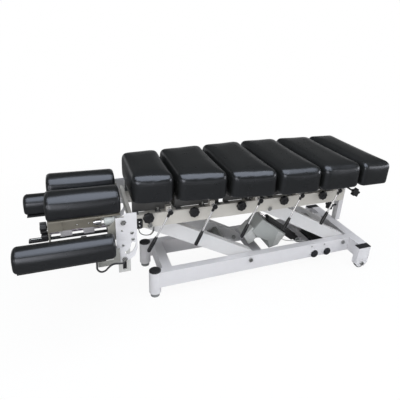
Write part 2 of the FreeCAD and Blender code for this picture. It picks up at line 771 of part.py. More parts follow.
def actuator():
    """A spindle actuator in its own frame: U runs along -X from its lower pivot to its upper one."""
    eye = rod("actuator_eye", ("0", "-actuator_eye_width / 2", "0"), "actuator_eye_radius",
              "actuator_eye_width", "y")
    sleeve = rod("actuator_sleeve", ("-actuator_tube_end", "0", "0"), "actuator_tube_radius",
                 "actuator_tube_end - actuator_tube_start", "x")
    neck = rod("actuator_neck", ("-actuator_tube_start - overrun", "0", "0"), "actuator_eye_width / 2",
               "actuator_tube_start + overrun", "x")
    bores = [rod("actuator_eye_hole", ("0", "-actuator_eye_width / 2 - overrun", "0"),
                 "pivot_radius + running_gap",
                 "actuator_eye_width + 2 * overrun", "y"),
             rod("actuator_sleeve_bore", ("-actuator_tube_end - overrun", "0", "0"),
                 "actuator_rod_radius + running_gap", "actuator_tube_end - actuator_tube_start - tube_wall",
                 "x")]
    tube = cut("actuator_tube", fuse("actuator_tube_body", eye, sleeve, neck), *bores)
    case = block("motor_case", ("-motor_start - motor_length", "-motor_width / 2",
                                "-actuator_tube_radius - motor_depth + motor_drop"),
                 ("motor_length", "motor_width", "motor_depth"))
    rounded = doc.addObject("Part::Fillet", "motor_rounded")
    rounded.Base = case
    doc.recompute()
    rounded.Edges = [(number, worth("motor_corner"), worth("motor_corner"))
                     for number, edge in enumerate(case.Shape.Edges, start=1)
                     if abs(edge.Vertexes[0].X - edge.Vertexes[-1].X) > worth("motor_length") / 2]
    gear = block("gear_case", ("-gear_start - gear_length - overrun", "-gear_width / 2",
                               "-actuator_tube_radius - motor_depth + motor_drop + motor_corner"),
                 ("gear_length + overrun", "gear_width", "motor_depth - motor_drop"))
    room = rod("motor_room", ("-motor_start - motor_length - overrun", "0", "0"),
               "actuator_tube_radius + running_gap",
               "motor_start + motor_length + 2 * overrun", "x")
    motor = cut("actuator_motor", fuse("motor_body", rounded, gear), room)
    end = rod("rod_eye", ("-actuator_length", "-actuator_eye_width / 2", "0"), "actuator_eye_radius",
              "actuator_eye_width", "y")
    shaft = rod("rod_shaft", ("-actuator_length", "0", "0"), "actuator_rod_radius",
                "actuator_length - actuator_tube_end + actuator_rod_inside", "x")
    chrome = fuse("actuator_rod", end, shaft)
    for item in (tube, motor, chrome):
        node(item.Name, place(item, ("actuator_x", "0", "actuator_height"), (0, 1, 0), "actuator_angle"))


def section_ends(number):
    """Where a drop section starts and ends along X."""
    ends = "section_head + section_1_length"
    if number == 1:
        return "section_head", f"({ends})"
    return f"({ends} + {number - 2} * section_pitch)", f"({ends} + {number - 1} * section_pitch)"


def lever_x(number):
    offset = "lever_1_offset" if number == 1 else "lever_offset"
    return f"({section_ends(number)[1]} - {offset})"


def half_width(across):
    """The table narrows in a straight line towards its head end."""
    return (f"min(section_half_full; section_half_head + (section_half_full - section_half_head) * "
            f"(({across}) - section_head) / section_taper_length)")


def upper_frame():
    beam = box_tube("beam_tube", ("beam_start", f"-{HALF_GAP} - beam_width", "beam_bottom"),
                    ("beam_end - beam_start", "beam_width", "beam_height"), "x", (True, False))
    near = f"-{HALF_GAP} - beam_width - overrun"
    holes = []
    for index, across in enumerate((HEAD_TOP_X, FOOT_TOP_X)):
        holes.append(rod(f"beam_pivot_{index}", (across, near, "0"), "pivot_radius + running_gap",
                         "beam_width + 2 * overrun", "y"))
    for number in range(1, 6):
        holes.append(rod(f"beam_knob_{number}", (f"{lever_x(number)} - knob_offset", near, "knob_height"),
                         "knob_stem_radius + running_gap", "tube_wall + 2 * overrun", "y"))
    window = block("beam_switch", ("rocker_x - rocker_length / 2 - rocker_side_gap", near,
                                   "beam_bottom + rocker_rise - rocker_tall / 2 - rocker_gap"),
                   ("rocker_length + 2 * rocker_side_gap", "tube_wall + 2 * overrun",
                    "rocker_tall + 2 * rocker_gap"))
    front_beam = cut("front_beam", beam, *holes, window)
    rear_beam = far_side(cut("plain_beam", beam, *holes[:2]))
    braces = []
    for index, across in enumerate(("brace_head_x", HANGER_X, "beam_end - brace_width / 2")):
        braces.append(box_tube(f"brace_{index}", (f"{across} - brace_width / 2", f"-{HALF_GAP}",
                                                  f"{BRACE_TOP} - brace_height"),
                               ("brace_width", "side_gap", "brace_height"), "y"))
    bar = box_tube("crossbar",
                   ("beam_start - crossbar_width", f"-{CHEEK_INNER}", f"{BEAM_TOP} - crossbar_height"),
                   ("crossbar_width", f"2 * {CHEEK_INNER}", "crossbar_height"), "y")
    ear = block("hanger_ear",
                (f"{HANGER_X} - pin_ear_drop", "-actuator_eye_width / 2 - ear_gap - ear_thickness",
                               f"{PIN_Z} - pin_ear_drop"),
                ("2 * pin_ear_drop", "ear_thickness",
                 f"{BRACE_TOP} - brace_height - {PIN_Z} + pin_ear_drop"))
    arm = box_tube("outrigger", ("beam_end", "column_y - column_width / 2", f"{BRACE_TOP} - brace_height"),
                   ("column_x - column_length / 2 - beam_end", "column_width", "brace_height"), "x")
    bearings = []
    for number in range(1, 6):
        low = (f"{lever_x(number)} - block_length / 2", f"-{HALF_GAP} - (beam_width + block_width) / 2",
               BEAM_TOP)
        base = block(f"bearing_{number}_base", low,
                     ("block_length", "block_width",
                      f"{SHAFT_Z} - {BEAM_TOP} + block_crown + shaft_radius"))
        bore = rod(f"bearing_{number}_bore", (lever_x(number), f"{low[1]} - overrun", SHAFT_Z),
                   "shaft_radius + running_gap", "block_width + 2 * overrun", "y")
        bearings.append(pair(f"bearings_{number}", cut(f"bearing_{number}", base, bore)))
    return upper_node("upper_frame", gather("upper_frame", front_beam, rear_beam, *braces, bar,
                                            pair("hanger_ears", ear), arm, *bearings))


def cheek_plates():
    """Two plates that carry the head section and the armrests, each with a curved slot."""
    points = (("cheek_left + cheek_nose", "cheek_bottom"), ("cheek_right - cheek_corner", "cheek_bottom"),
              ("cheek_right - cheek_corner * 0.3", "cheek_bottom + cheek_corner * 0.5"),
              ("cheek_right", "cheek_bottom + cheek_corner * 1.5"), ("cheek_right", "cheek_top"),
              ("cheek_left + cheek_shoulder", "cheek_top"),
              ("cheek_left + cheek_shoulder", "cheek_top - cheek_step"),
              ("cheek_left", "cheek_top - cheek_step"), ("cheek_left", "cheek_bottom + cheek_corner"))
    circles = (("head_pivot_top_x", "head_pivot_top_z", "head_pin_radius + running_gap"),
               ("head_pivot_top_x", "slot_pin_z", "slot_pin_radius + running_gap"),
               ("cheek_hole_x", "cheek_hole_z", "cheek_hole_radius"))
    plate = place(padded("cheek_plate", "XZ_Plane", points, "cheek_thickness", circles),
                  ("0", f"-{CHEEK_INNER}", "0"))
    near = f"-{CHEEK_OUTER} - overrun"
    through = "cheek_thickness + 2 * overrun"
    fan = rod("cheek_slot_fan", ("cheek_slot_x", near, "cheek_slot_z"),
              "cheek_slot_radius + cheek_slot_width / 2", through, "y")
    bind(fan, "Angle", "cheek_slot_sweep")
    core = rod("cheek_slot_core", ("cheek_slot_x", near, "cheek_slot_z"),
               "cheek_slot_radius - cheek_slot_width / 2", through, "y")
    ends = [rod(f"cheek_slot_end_{index}", (f"cheek_slot_x + cheek_slot_radius * cos({turn})", near,
                                            f"cheek_slot_z - cheek_slot_radius * sin({turn})"),
                "cheek_slot_width / 2", through, "y") for index,
                turn in enumerate(("0", "cheek_slot_sweep"))]
    slotted = cut("cheek_slotted", plate, cut("cheek_slot", fan, core), *ends)
    return upper_node("cheek_plates", pair("cheek_plates", slotted))


def upper_bolts():
    near = f"-{HALF_GAP} - beam_width"
    reach = f"beam_width + {HALF_GAP} - {ARM_INNER}"
    bolts = [pair("head_top_pivots", hex_bolt("head_top_pivot", (HEAD_TOP_X, near, "0"), reach)),
             pair("foot_top_pivots", hex_bolt("foot_top_pivot", (FOOT_TOP_X, near, "0"), reach))]
    head_reach = "cheek_thickness + cheek_y - head_side_y"
    bolts.append(pair("head_pins",
                      hex_bolt("head_pin", ("head_pivot_top_x", f"-{CHEEK_OUTER}", "head_pivot_top_z"),
                                            head_reach, "head_pin_radius")))
    slot_reach = "cheek_thickness + slide_gap + bracket_thickness"
    bolts.append(pair("slot_pins",
                      hex_bolt("slot_pin", ("head_pivot_top_x", f"-{CHEEK_OUTER}", "slot_pin_z"),
                                            slot_reach, "slot_pin_radius")))
    for side, face in (("near", "-actuator_eye_width / 2 - ear_gap - ear_thickness - bolt_head_height"),
                       ("far", "actuator_eye_width / 2 + ear_gap + ear_thickness")):
        bolts.append(hexagon(f"hanger_bolt_{side}", (HANGER_X, face, PIN_Z), "bolt_head_radius",
                             "bolt_head_height"))
    for number in range(1, 6):
        across = f"({lever_x(number)} - knob_offset * 0.5)"
        pin = rod(f"guide_{number}_pin", (across, f"-{HALF_GAP} - beam_width / 2", BEAM_TOP),
                  "guide_radius",
                  "soft_gap + plate_thickness + drop_travel + overrun")
        top = hexagon(f"guide_{number}_head", (across, f"-{HALF_GAP} - beam_width / 2",
                                               f"{WEB_FLOOR} + plate_thickness + drop_travel + overrun"),
                      "guide_head_radius", "guide_head_height", "z")
        bolts.append(pair(f"guides_{number}", fuse(f"guide_{number}", pin, top)))
    return upper_node("upper_bolts", gather("upper_bolts", *bolts))


def drop_section(number):
    """One section: cushion, drop plate, cam shaft with its lever, grip and tension knob."""
    start, end = section_ends(number)
    half = "section_gap / 2"
    left = f"({start} + {half})"
    right = f"({end} - {half})"
    label = f"cushion_{number}"
    upper_node(label, cushion(label, left, right, half_width(start), half_width(end), "0", CUSHION_BOTTOM,
                              "cushion_height", "cushion_corner", CUSHION_SHARES))
    across = lever_x(number)
    plate_half = f"({half_width(start)} - plate_margin)"
    top = block(f"drop_top_{number}",
                (f"{left} + plate_end_gap", f"-{plate_half}", f"{PLATE_TOP} - plate_thickness"),
                (f"{right} - {left} - 2 * plate_end_gap", f"2 * {plate_half}", "plate_thickness"))
    web_y = f"-{HALF_GAP} + web_gap"
    web = block(f"drop_web_{number}", (f"{left} + plate_end_gap", web_y, WEB_FLOOR),
                (f"{right} - {left} - 2 * plate_end_gap", "web_thickness",
                 f"{PLATE_TOP} - plate_thickness - {WEB_FLOOR}"))
    notch = block(f"drop_notch_{number}", (f"{across} - shaft_radius - overrun", f"{web_y} - overrun",
                                           f"{WEB_FLOOR} - overrun"),
                  ("2 * (shaft_radius + overrun)", "web_thickness + 2 * overrun",
                   f"{SHAFT_Z} + shaft_radius + 2 * overrun - {WEB_FLOOR}"))
    feet = []
    foot_y = f"({web_y} - drop_foot_width)"
    middle = f"({across} - knob_offset * 0.5)"
    foot_places = [f"({left} + drop_foot_inset)", f"({middle} - drop_foot_length / 2)"]
    if number > 1:
        foot_places.append(f"({right} - drop_foot_inset - drop_foot_length)")
    for index, foot_x in enumerate(foot_places):
        feet.append(block(f"drop_foot_{number}_{index}", (foot_x, foot_y, WEB_FLOOR),
                          ("drop_foot_length", "drop_foot_width", "plate_thickness")))
    guide = rod(f"drop_guide_{number}", (middle, f"-{HALF_GAP} - beam_width / 2", f"{WEB_FLOOR} - overrun"),
                "guide_radius + slide_gap", "plate_thickness + 2 * overrun")
    side = cut(f"drop_side_{number}", fuse(f"drop_side_body_{number}", web, *feet), notch, guide)
    followers = [block(f"drop_follower_{number}_{index}",
                       (f"{across} + cam_throw - follower_width / 2", f"{sign}cam_y - cam_width / 2",
                        f"{SHAFT_Z} - cam_throw / 2 + cam_radius + soft_gap"),
                       ("follower_width", "cam_width",
                        f"{PLATE_TOP} - plate_thickness - {SHAFT_Z} + cam_throw / 2 - cam_radius - soft_gap"))
                 for index, sign in enumerate(("-", ""))]
    upper_node(f"drop_plate_{number}", fuse(f"drop_plate_{number}", top, side, far_side(side), *followers))
    lean = "lever_1_lean" if number == 1 else "lever_lean"
    shaft = rod(f"lever_shaft_{number}", ("0", "-lever_y", "0"), "shaft_radius",
                f"lever_y + {HALF_GAP} + (beam_width + block_width) / 2 + shaft_overhang", "y")
    cams = [rod(f"lever_cam_{number}_{index}",
                (f"cam_throw * sin(cam_phase - {lean})", f"{sign}cam_y - cam_width / 2",
                 f"cam_throw * cos(cam_phase - {lean})"), "cam_radius", "cam_width", "y")
            for index, sign in enumerate(("-", ""))]
    hub = rod(f"lever_hub_{number}", ("0", "-lever_y - lever_hub_width / 2", "0"), "lever_hub_radius",
              "lever_hub_width", "y")
    stick = rod(f"lever_stick_{number}", ("0", "-lever_y", "-lever_length + grip_tip"), "lever_radius",
                "lever_length - grip_tip")
    lever = fuse(f"drop_lever_{number}", shaft, *cams, hub, stick)
    at = (across, "0", SHAFT_Z)
    upper_node(f"drop_lever_{number}", place(lever, at, (0, 1, 0), lean))
    grip = turned(f"grip_sleeve_{number}", (
        ("lever_radius + running_gap", "-lever_length + grip_tip"), ("0", "-lever_length + grip_tip"),
        ("0", "-lever_length"), ("grip_end_radius", "-lever_length"),
        ("grip_radius", "-lever_length + grip_tip"), ("grip_radius", "-lever_length + grip_length * 0.72"),
        ("grip_end_radius", "-lever_length + grip_length"),
        ("lever_radius + running_gap", "-lever_length + grip_length")))
    holder = gather(f"grip_holder_{number}", place(grip, ("0", "-lever_y", "0")))
    upper_node(f"lever_grip_{number}", place(holder, at, (0, 1, 0), lean))
    knob_at = (f"({across} - knob_offset)", f"-{HALF_GAP} - beam_width - knob_stand", "knob_height")
    upper_node(f"tension_knob_{number}",
               lobed_knob(f"tension_knob_{number}", knob_at, "-y", 7, "knob_radius",
                                                    "knob_thickness", "knob_stem_radius",
                                                    "knob_stem_length"))


def foot_section():
    start = section_ends(5)[1]
    half = "section_gap / 2"
    upper_node("foot_cushion",
               cushion("foot_cushion", f"{start} + {half}", f"{start} + {half} + foot_section_length",
                                       "section_half_full", "section_half_full", "0", CUSHION_BOTTOM,
                                       "cushion_height", "cushion_corner * 0.5", CUSHION_SHARES))
    low = ("column_x - column_length / 2", "column_y - column_width / 2", "column_bottom")
    tube = box_tube("column_tube", low,
                    ("column_length", "column_width", f"{BRACE_TOP} + column_rise - column_bottom"), "z",
                    (False, True))
    clamp_hole = rod("clamp_hole", ("column_x", f"{low[1]} - overrun", "clamp_height"),
                     "star_stem_radius + running_gap", "tube_wall + 2 * overrun", "y")
    knob_hole = rod("column_knob_hole", (f"{low[0]} - overrun", "column_y", "column_knob_height"),
                    "star_stem_radius + running_gap", "tube_wall + 2 * overrun", "x")
    upper_node("foot_column", cut("foot_column", tube, clamp_hole, knob_hole))
    inset = "(tube_wall + slide_gap)"
    post = block("inner_post", (f"{low[0]} + {inset}", f"{low[1]} + {inset}", "post_low"),
                 (f"column_length - 2 * {inset}", f"column_width - 2 * {inset}",
                  f"{PLATE_TOP} - post_plate_thickness - post_low"))
    plate = block("post_plate", ("column_x - post_plate_length / 2", "-post_plate_width / 2",
                                 f"{PLATE_TOP} - post_plate_thickness"),
                  ("post_plate_length", "post_plate_width", "post_plate_thickness"))
    upper_node("foot_post", fuse("foot_post", post, plate))
    clamp_at = ("column_x", f"{low[1]} - clamp_stand", "clamp_height")
    upper_node("clamp_knob", lobed_knob("clamp_knob", clamp_at, "-y", 5, "star_radius", "star_thickness",
                                        "star_stem_radius", "clamp_stand + tube_wall"))
    knob_at = (f"{low[0]} - column_knob_stand", "column_y", "column_knob_height")
    upper_node("column_knob", lobed_knob("column_knob", knob_at, "-x", 5, "star_radius", "star_thickness",
                                         "star_stem_radius", "column_knob_stand + tube_wall"))


def head_section():
    """The tilting head frame, its sliding carriage and what locks them."""
    reach = "head_side_reach"
    block_right = "(head_block_x + head_block_length)"
    block_top = "(head_block_bottom + head_block_height)"
    side = padded("head_side", "XZ_Plane",
                  ((f"head_pivot_top_x - {reach}", f"head_pivot_top_z + {reach}"),
                   ("head_block_x", block_top), ("head_block_x", "head_block_bottom"),
                   (block_right, "head_block_bottom"),
                   (f"head_pivot_top_x + {reach}", f"head_pivot_top_z - {reach}"),
                   (f"head_pivot_top_x + {reach}", f"head_pivot_top_z + {reach}")), "bracket_thickness",
                  (("head_pivot_top_x", "head_pivot_top_z", "head_pin_radius + running_gap"),))
    place(side, ("0", "-head_side_y", "0"))
    beam = block("head_block", ("head_block_x", "-head_side_y", "head_block_bottom"),
                 ("head_block_length", "2 * head_side_y", "head_block_height"))
    end_x = "(head_block_x - rod_reach)"
    end_plate = block("head_end_plate", (f"{end_x} - end_plate_thickness", "-rod_y - 2 * rod_radius",
                                         "end_plate_bottom"),
                      ("end_plate_thickness", "2 * (rod_y + 2 * rod_radius)", "end_plate_height"))
    seats = [rod(f"head_seat_{index}",
                 (f"{end_x} - end_plate_thickness - overrun", f"{sign}rod_y", "rod_height"),
                 "rod_radius", "end_plate_thickness + rod_reach + head_block_length", "x")
             for index, sign in enumerate(("-", ""))]
    bar_hole = rod("release_hole", (f"{end_x} - end_plate_thickness - overrun", "-rod_y", "release_height"),
                   "release_radius + running_gap", "end_plate_thickness + rod_reach + head_block_length",
                   "x")
    knob_hole = rod("head_knob_hole",
                    (f"{end_x} - end_plate_thickness - overrun", "-rod_y", "head_knob_height"),
                    "star_stem_radius + running_gap", "end_plate_thickness + 2 * overrun", "x")
    block_cut = cut("head_block_cut", beam, *seats, bar_hole)
    end_cut = cut("head_end_cut", end_plate, *seats, bar_hole, knob_hole)
    upper_node("head_frame", gather("head_frame", pair("head_sides", side), block_cut, end_cut))
    rods = [rod(f"head_rod_{index}", (f"{end_x} - end_plate_thickness", f"{sign}rod_y", "rod_height"),
                "rod_radius", "end_plate_thickness + rod_reach + head_block_length - overrun", "x")
            for index, sign in enumerate(("-", ""))]
    upper_node("head_rods", gather("head_rods", *rods))
    plate_x = "(head_end + head_plate_thickness)"
    plate = block("head_plate", (plate_x, "-head_outer + head_plate_thickness",
                                 "head_bottom - soft_gap - head_plate_thickness"),
                  ("head_start - head_end - 2 * head_plate_thickness",
                   "head_outer - head_inner - head_plate_thickness",
                   "head_plate_thickness"))
    pieces = [plate]
    for index, across in enumerate(("slider_head_x", "slider_foot_x")):
        pieces.append(block(f"slider_{index}",
                            (f"{across} - slider_length / 2", "-rod_y - slider_width / 2",
                                                "slider_bottom"),
                            ("slider_length", "slider_width",
                             "head_bottom - soft_gap - head_plate_thickness - slider_bottom")))
    runner = rod("slider_bore", (f"{end_x} - overrun", "-rod_y", "rod_height"), "rod_radius + running_gap",
                 "rod_reach", "x")
    side_plate = cut("head_carriage_side", fuse("head_carriage_body", *pieces), runner)
    bridge = block("head_bridge", ("slider_foot_x - slider_length / 2", "-rod_y + slider_width / 2",
                                   "rod_height + 2 * rod_radius"),
                   ("slider_length", "2 * rod_y - slider_width", "2 * rod_radius"))
    upper_node("head_carriage", fuse("head_carriage", side_plate, far_side(side_plate), bridge))
    pad_half = "(head_outer - head_inner) / 2"
    pads = [cushion(f"head_pad_{index}", "head_end", "head_start", pad_half, pad_half,
                    f"{sign}(head_outer + head_inner) / 2", "head_bottom", "head_height",
                    "head_corner * 1.4",
                    HEAD_PAD_SHARES) for index, sign in enumerate(("-", ""))]
    upper_node("head_cushions", gather("head_cushions", *pads))
    knob_at = (f"{end_x} - end_plate_thickness - knob_stand", "-rod_y", "head_knob_height")
    upper_node("head_knob", lobed_knob("head_knob", knob_at, "-x", 5, "star_radius", "star_thickness",
                                       "star_stem_radius", "knob_stand + end_plate_thickness + overrun"))
    bar = rod("release_rod", (f"{end_x} - end_plate_thickness - release_gap", "-rod_y", "release_height"),
              "release_radius",
              "release_gap + end_plate_thickness + rod_reach + head_block_length - 2 * overrun",
              "x")
    handle = block("release_handle", (f"{end_x} - end_plate_thickness - release_gap - handle_length",
                                      "-rod_y - handle_width / 2", "release_height - handle_height / 2"),
                   ("handle_length", "handle_width", "handle_height"))
    upper_node("release_bar", fuse("release_bar", bar, handle))


def armrests():
    for side, sign in (("front", -1), ("rear", 1)):
        label = f"armrest_pad_{side}"
        half = "(armrest_outer - armrest_inner) / 2"
        upper_node(label, cushion(label, "armrest_end", "armrest_start", half, half,
                                  f"{sign} * (armrest_outer + armrest_inner) / 2", "armrest_bottom",
                                  "armrest_height",
                                  "armrest_corner_share * (armrest_outer - armrest_inner)",
                                  CUSHION_SHARES))
    inner = "(cheek_y - slide_gap - bracket_thickness)"
    top = "(armrest_bottom - soft_gap)"
    left = "(head_pivot_top_x - bracket_length / 2)"
    bar = block("bracket_bar", (left, f"-{inner} - bracket_thickness", "bracket_bottom"),
                ("bracket_length", "bracket_thickness", f"{top} - bracket_bottom"))
    strap = block("bracket_strap_bar", ("armrest_start - bracket_reach", f"-{inner} - bracket_thickness",
                                        f"{top} - bracket_strap"),
                  (f"{left} - armrest_start + bracket_reach + overrun", "bracket_thickness",
                   "bracket_strap"))
    shelf = block("bracket_shelf", ("armrest_end + bracket_inset", "-armrest_outer + bracket_inset",
                                    f"{top} - bracket_thickness"),
                  ("armrest_start - armrest_end - 2 * bracket_inset",
                   f"armrest_outer - bracket_inset - {inner}",
                   "bracket_thickness"))
    width = "(2 * (slot_pin_radius + slide_gap))"
    slot = block("bracket_slot",
                 (f"head_pivot_top_x - {width} / 2", f"-{inner} - bracket_thickness - overrun",
                                  "bracket_slot_low"),
                 (width, "bracket_thickness + 2 * overrun", "bracket_slot_high - bracket_slot_low"))
    bracket = cut("armrest_bracket", fuse("bracket_body", bar, strap, shelf), slot)
    upper_node("armrest_bracket_front", gather("armrest_bracket_front", bracket))
    upper_node("armrest_bracket_rear", gather("armrest_bracket_rear", far_side(bracket)))


def rocker_switch():
    """A see-saw key in the front beam, on a pin that runs in the sides of its window."""
    key = padded("rocker_key", "YZ_Plane",
                 (("-rocker_stand", "-rocker_tall / 2"), ("rocker_depth", "-rocker_tall / 2"),
                  ("rocker_depth", "rocker_tall / 2"), ("-rocker_stand", "rocker_tall / 2"),
                  ("-rocker_stand * 0.4", "0")), "rocker_length", (), True)
    reach = "(rocker_length / 2 + rocker_side_gap - running_gap)"
    pin = rod("rocker_pin", (f"-{reach}", "rocker_pin_depth", "0"), "rocker_pin_radius", f"2 * {reach}",
              "x")
    upper_node("rocker_switch", place(fuse("rocker_body", key, pin),
                                      ("rocker_x", f"-{HALF_GAP} - beam_width",
                                       "beam_bottom + rocker_rise")))


# Route of each switch lead from its gland to the inner face of the front rail
LEADS = (
    ((672, -74, 90), (672, -84, 90), (667, -97, 100), (659, -109, 100), (655, -114, 92), (655, -123, 92)),
    ((714.5, -74, 90), (714.5, -84, 90), (709, -97, 100), (701, -109, 100), (697, -114, 92),
     (697, -123, 92)),
)


def cord(name, route, radius):
    """A tube through hand-chosen points: straight runs joined by the largest arcs that fit."""
    points = [FreeCAD.Vector(*point) for point in route]
    edges = []
    start = points[0]
    for before, point, after in zip(points, points[1:], points[2:]):
        back = before - point
        ahead = after - point
        turn = math.pi - back.getAngle(ahead)
        bend = 0.45 * min(back.Length, ahead.Length) / math.tan(turn / 2)
        print(name, "bend radius", round(bend, 1))
        reach = bend * math.tan(turn / 2)
        back.normalize()
        ahead.normalize()
        inward = (back + ahead).normalize()
        middle = point + inward * (bend / math.cos(turn / 2) - bend)
        first = point + back * reach
        last = point + ahead * reach
        edges.append(Part.LineSegment(start, first).toShape())
        edges.append(Part.Arc(first, middle, last).toShape())
        start = last
    edges.append(Part.LineSegment(start, points[-1]).toShape())
    path = Part.Wire(edges)
    ring = Part.Wire(Part.Circle(points[0], points[1] - points[0], radius).toShape())
    tube = path.makePipeShell([ring], True, False)
    print(name, "volume ratio", round(tube.Volume / (math.pi * radius ** 2 * path.Length), 4))
    item = doc.addObject("Part::Feature", name)
    item.Shape = tube
    return item


def base_cables():
    leads = [cord(f"lead_{index}", route, worth("lead_radius")) for index, route in enumerate(LEADS)]
    return node("base_cables", gather("base_cables", *leads))


base_frame()
tube_caps()
levelling_feet()
wheels()
base_bolts()
control_box()
buttons()
lift_arm("head_arm", "head_pivot_x")
lift_arm("foot_arm", "foot_pivot_x")
actuator()
upper_frame()
cheek_plates()
upper_bolts()
for section in range(1, 6):
    drop_section(section)
foot_section()
head_section()
armrests()
rocker_switch()
base_cables()
doc.recompute()

for item in doc.Objects:
    if "Invalid" in item.State or "Error" in item.State:
        raise RuntimeError(f"{item.Name} failed: {item.State}")
for item in NODES:
    if item.Shape.isNull() or not item.Shape.isValid():
        raise RuntimeError(f"{item.Label} has no valid shape")
for item in NODES:
    item.Shape.exportStep(f"parts/{item.Label}.step")
print(len(NODES), "parts written")
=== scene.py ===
"""The looks of a six-section drop table: its stage, lamps, camera, finishes, upholstery and small fittings."""

import json
import math

import bmesh
import bpy
from mathutils import Matrix, Vector
from mathutils.bvhtree import BVHTree


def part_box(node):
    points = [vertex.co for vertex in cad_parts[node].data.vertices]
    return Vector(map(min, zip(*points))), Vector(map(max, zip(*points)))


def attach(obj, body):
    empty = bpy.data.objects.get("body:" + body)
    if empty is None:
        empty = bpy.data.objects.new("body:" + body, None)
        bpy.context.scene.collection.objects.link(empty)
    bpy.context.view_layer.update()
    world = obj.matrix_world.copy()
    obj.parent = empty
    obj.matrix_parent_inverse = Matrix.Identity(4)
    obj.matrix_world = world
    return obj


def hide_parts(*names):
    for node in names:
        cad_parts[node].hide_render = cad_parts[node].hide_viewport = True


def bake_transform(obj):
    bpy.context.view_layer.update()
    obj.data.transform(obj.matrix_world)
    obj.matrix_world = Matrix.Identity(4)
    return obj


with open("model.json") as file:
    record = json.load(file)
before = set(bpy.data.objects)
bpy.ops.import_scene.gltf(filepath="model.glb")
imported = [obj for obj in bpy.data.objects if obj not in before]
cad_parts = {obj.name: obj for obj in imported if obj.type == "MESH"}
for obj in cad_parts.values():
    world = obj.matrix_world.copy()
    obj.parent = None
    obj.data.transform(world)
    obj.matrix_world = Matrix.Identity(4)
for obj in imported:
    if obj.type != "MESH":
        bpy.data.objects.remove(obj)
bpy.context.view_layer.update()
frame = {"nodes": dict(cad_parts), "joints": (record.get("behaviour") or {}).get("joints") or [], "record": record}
SCENE = bpy.context.scene
MM = 0.001

# The photograph's camera, in the table's frame
CAMERA_AT = (-0.659, -1.649, 1.317)
CAMERA_YAW, CAMERA_PITCH, CAMERA_ROLL = 0.421, 0.392, -0.074
FOCAL_PIXELS = 365.2
PHOTO_PIXELS = 400
CENTRE_PIXEL = (228.8, 176.1)
SENSOR = 36.0


def camera():
    """The camera at the photograph's place, with the shift that its framing needs."""
    data = bpy.data.cameras.new("photo_camera")
    data.sensor_width = SENSOR
    data.lens = SENSOR * FOCAL_PIXELS / PHOTO_PIXELS
    data.shift_x = (PHOTO_PIXELS / 2 - CENTRE_PIXEL[0]) / PHOTO_PIXELS
    data.shift_y = (CENTRE_PIXEL[1] - PHOTO_PIXELS / 2) / PHOTO_PIXELS
    data.clip_start = 0.05
    forward = Vector((math.sin(CAMERA_YAW) * math.cos(CAMERA_PITCH), math.cos(CAMERA_YAW) * math.cos(CAMERA_PITCH),
                      -math.sin(CAMERA_PITCH)))
    level = forward.cross(Vector((0, 0, 1))).normalized()
    below = forward.cross(level)
    right = math.cos(CAMERA_ROLL) * level + math.sin(CAMERA_ROLL) * below
    down = math.cos(CAMERA_ROLL) * below - math.sin(CAMERA_ROLL) * level
    eye = placed("photo_camera", data)
    eye.matrix_world = Matrix.Translation(CAMERA_AT) @ Matrix((right, -down, -forward)).transposed().to_4x4()
    SCENE.camera = eye


def maths(tree, operation, first, second):
    """One Math node; an input is a socket or a number."""
    node = tree.nodes.new("ShaderNodeMath")
    node.operation = operation
    for value, socket in zip((first, second), node.inputs):
        if isinstance(value, (int, float)):
            socket.default_value = value
        else:
            tree.links.new(value, socket)
    return node.outputs[0]


def fade(tree, value, start, stop, before, after):
    """Runs smoothly from one number to the other while the value goes from start to stop."""
    ramp = tree.nodes.new("ShaderNodeMapRange")
    ramp.interpolation_type = "SMOOTHSTEP"
    tree.links.new(value, ramp.inputs["Value"])
    for name, number in (("From Min", start), ("From Max", stop), ("To Min", before), ("To Max", after)):
        ramp.inputs[name].default_value = number
    return ramp.outputs["Result"]


def rays(tree):
    """(1 for rays that show the background to the camera or through glass, 1 for those and for reflections)."""
    path = tree.nodes.new("ShaderNodeLightPath")
    seen = maths(tree, "MAXIMUM", path.outputs["Is Camera Ray"], path.outputs["Is Transmission Ray"])
    return seen, maths(tree, "MAXIMUM", seen, path.outputs["Is Glossy Ray"])


ROOM_FILL = 0.3
ROOM_FILL_COLOUR = (0.95, 0.97, 1.0, 1)
# What reflections see at the horizon, overhead and on the floor; the ceiling's tone starts at this height
HORIZON_GLOSS, CEILING_GLOSS, FLOOR_GLOSS = 0.7, 0.05, 0.15
CEILING_STARTS = 0.24
FLOOR_REACH = 12.0
FLOOR_PAINT = (0.84, 0.84, 0.84, 1)
# The floor's glow under the table and further out, and the distances between which it changes
FLOOR_GLOW_NEAR, FLOOR_GLOW_FAR = 0.94, 1.0
GLOW_CHANGES_FROM, GLOW_CHANGES_TO = 1.0, 2.2


def room():
    """A room that the camera sees as plain white, and that reflections see with a dim ceiling."""
    world = bpy.data.worlds.new("white_room")
    world.use_nodes = True
    tree = world.node_tree
    tree.nodes.clear()
    height = tree.nodes.new("ShaderNodeSeparateXYZ")
    tree.links.new(tree.nodes.new("ShaderNodeTexCoord").outputs["Generated"], height.inputs[0])
    reflected = fade(tree, height.outputs["Z"], 0.0, CEILING_STARTS, HORIZON_GLOSS, CEILING_GLOSS)
    seen, shown = rays(tree)
    white = tree.nodes.new("ShaderNodeBackground")
    white.inputs["Color"].default_value = (1, 1, 1, 1)
    tree.links.new(maths(tree, "MAXIMUM", seen, reflected), white.inputs["Strength"])
    fill = tree.nodes.new("ShaderNodeBackground")
    fill.inputs["Color"].default_value = ROOM_FILL_COLOUR
    fill.inputs["Strength"].default_value = ROOM_FILL
    either = tree.nodes.new("ShaderNodeMixShader")
    out = tree.nodes.new("ShaderNodeOutputWorld")
    links(tree, (shown, either.inputs[0]), (fill.outputs[0], either.inputs[1]),
          (white.outputs[0], either.inputs[2]), (either.outputs[0], out.inputs["Surface"]))
    SCENE.world = world


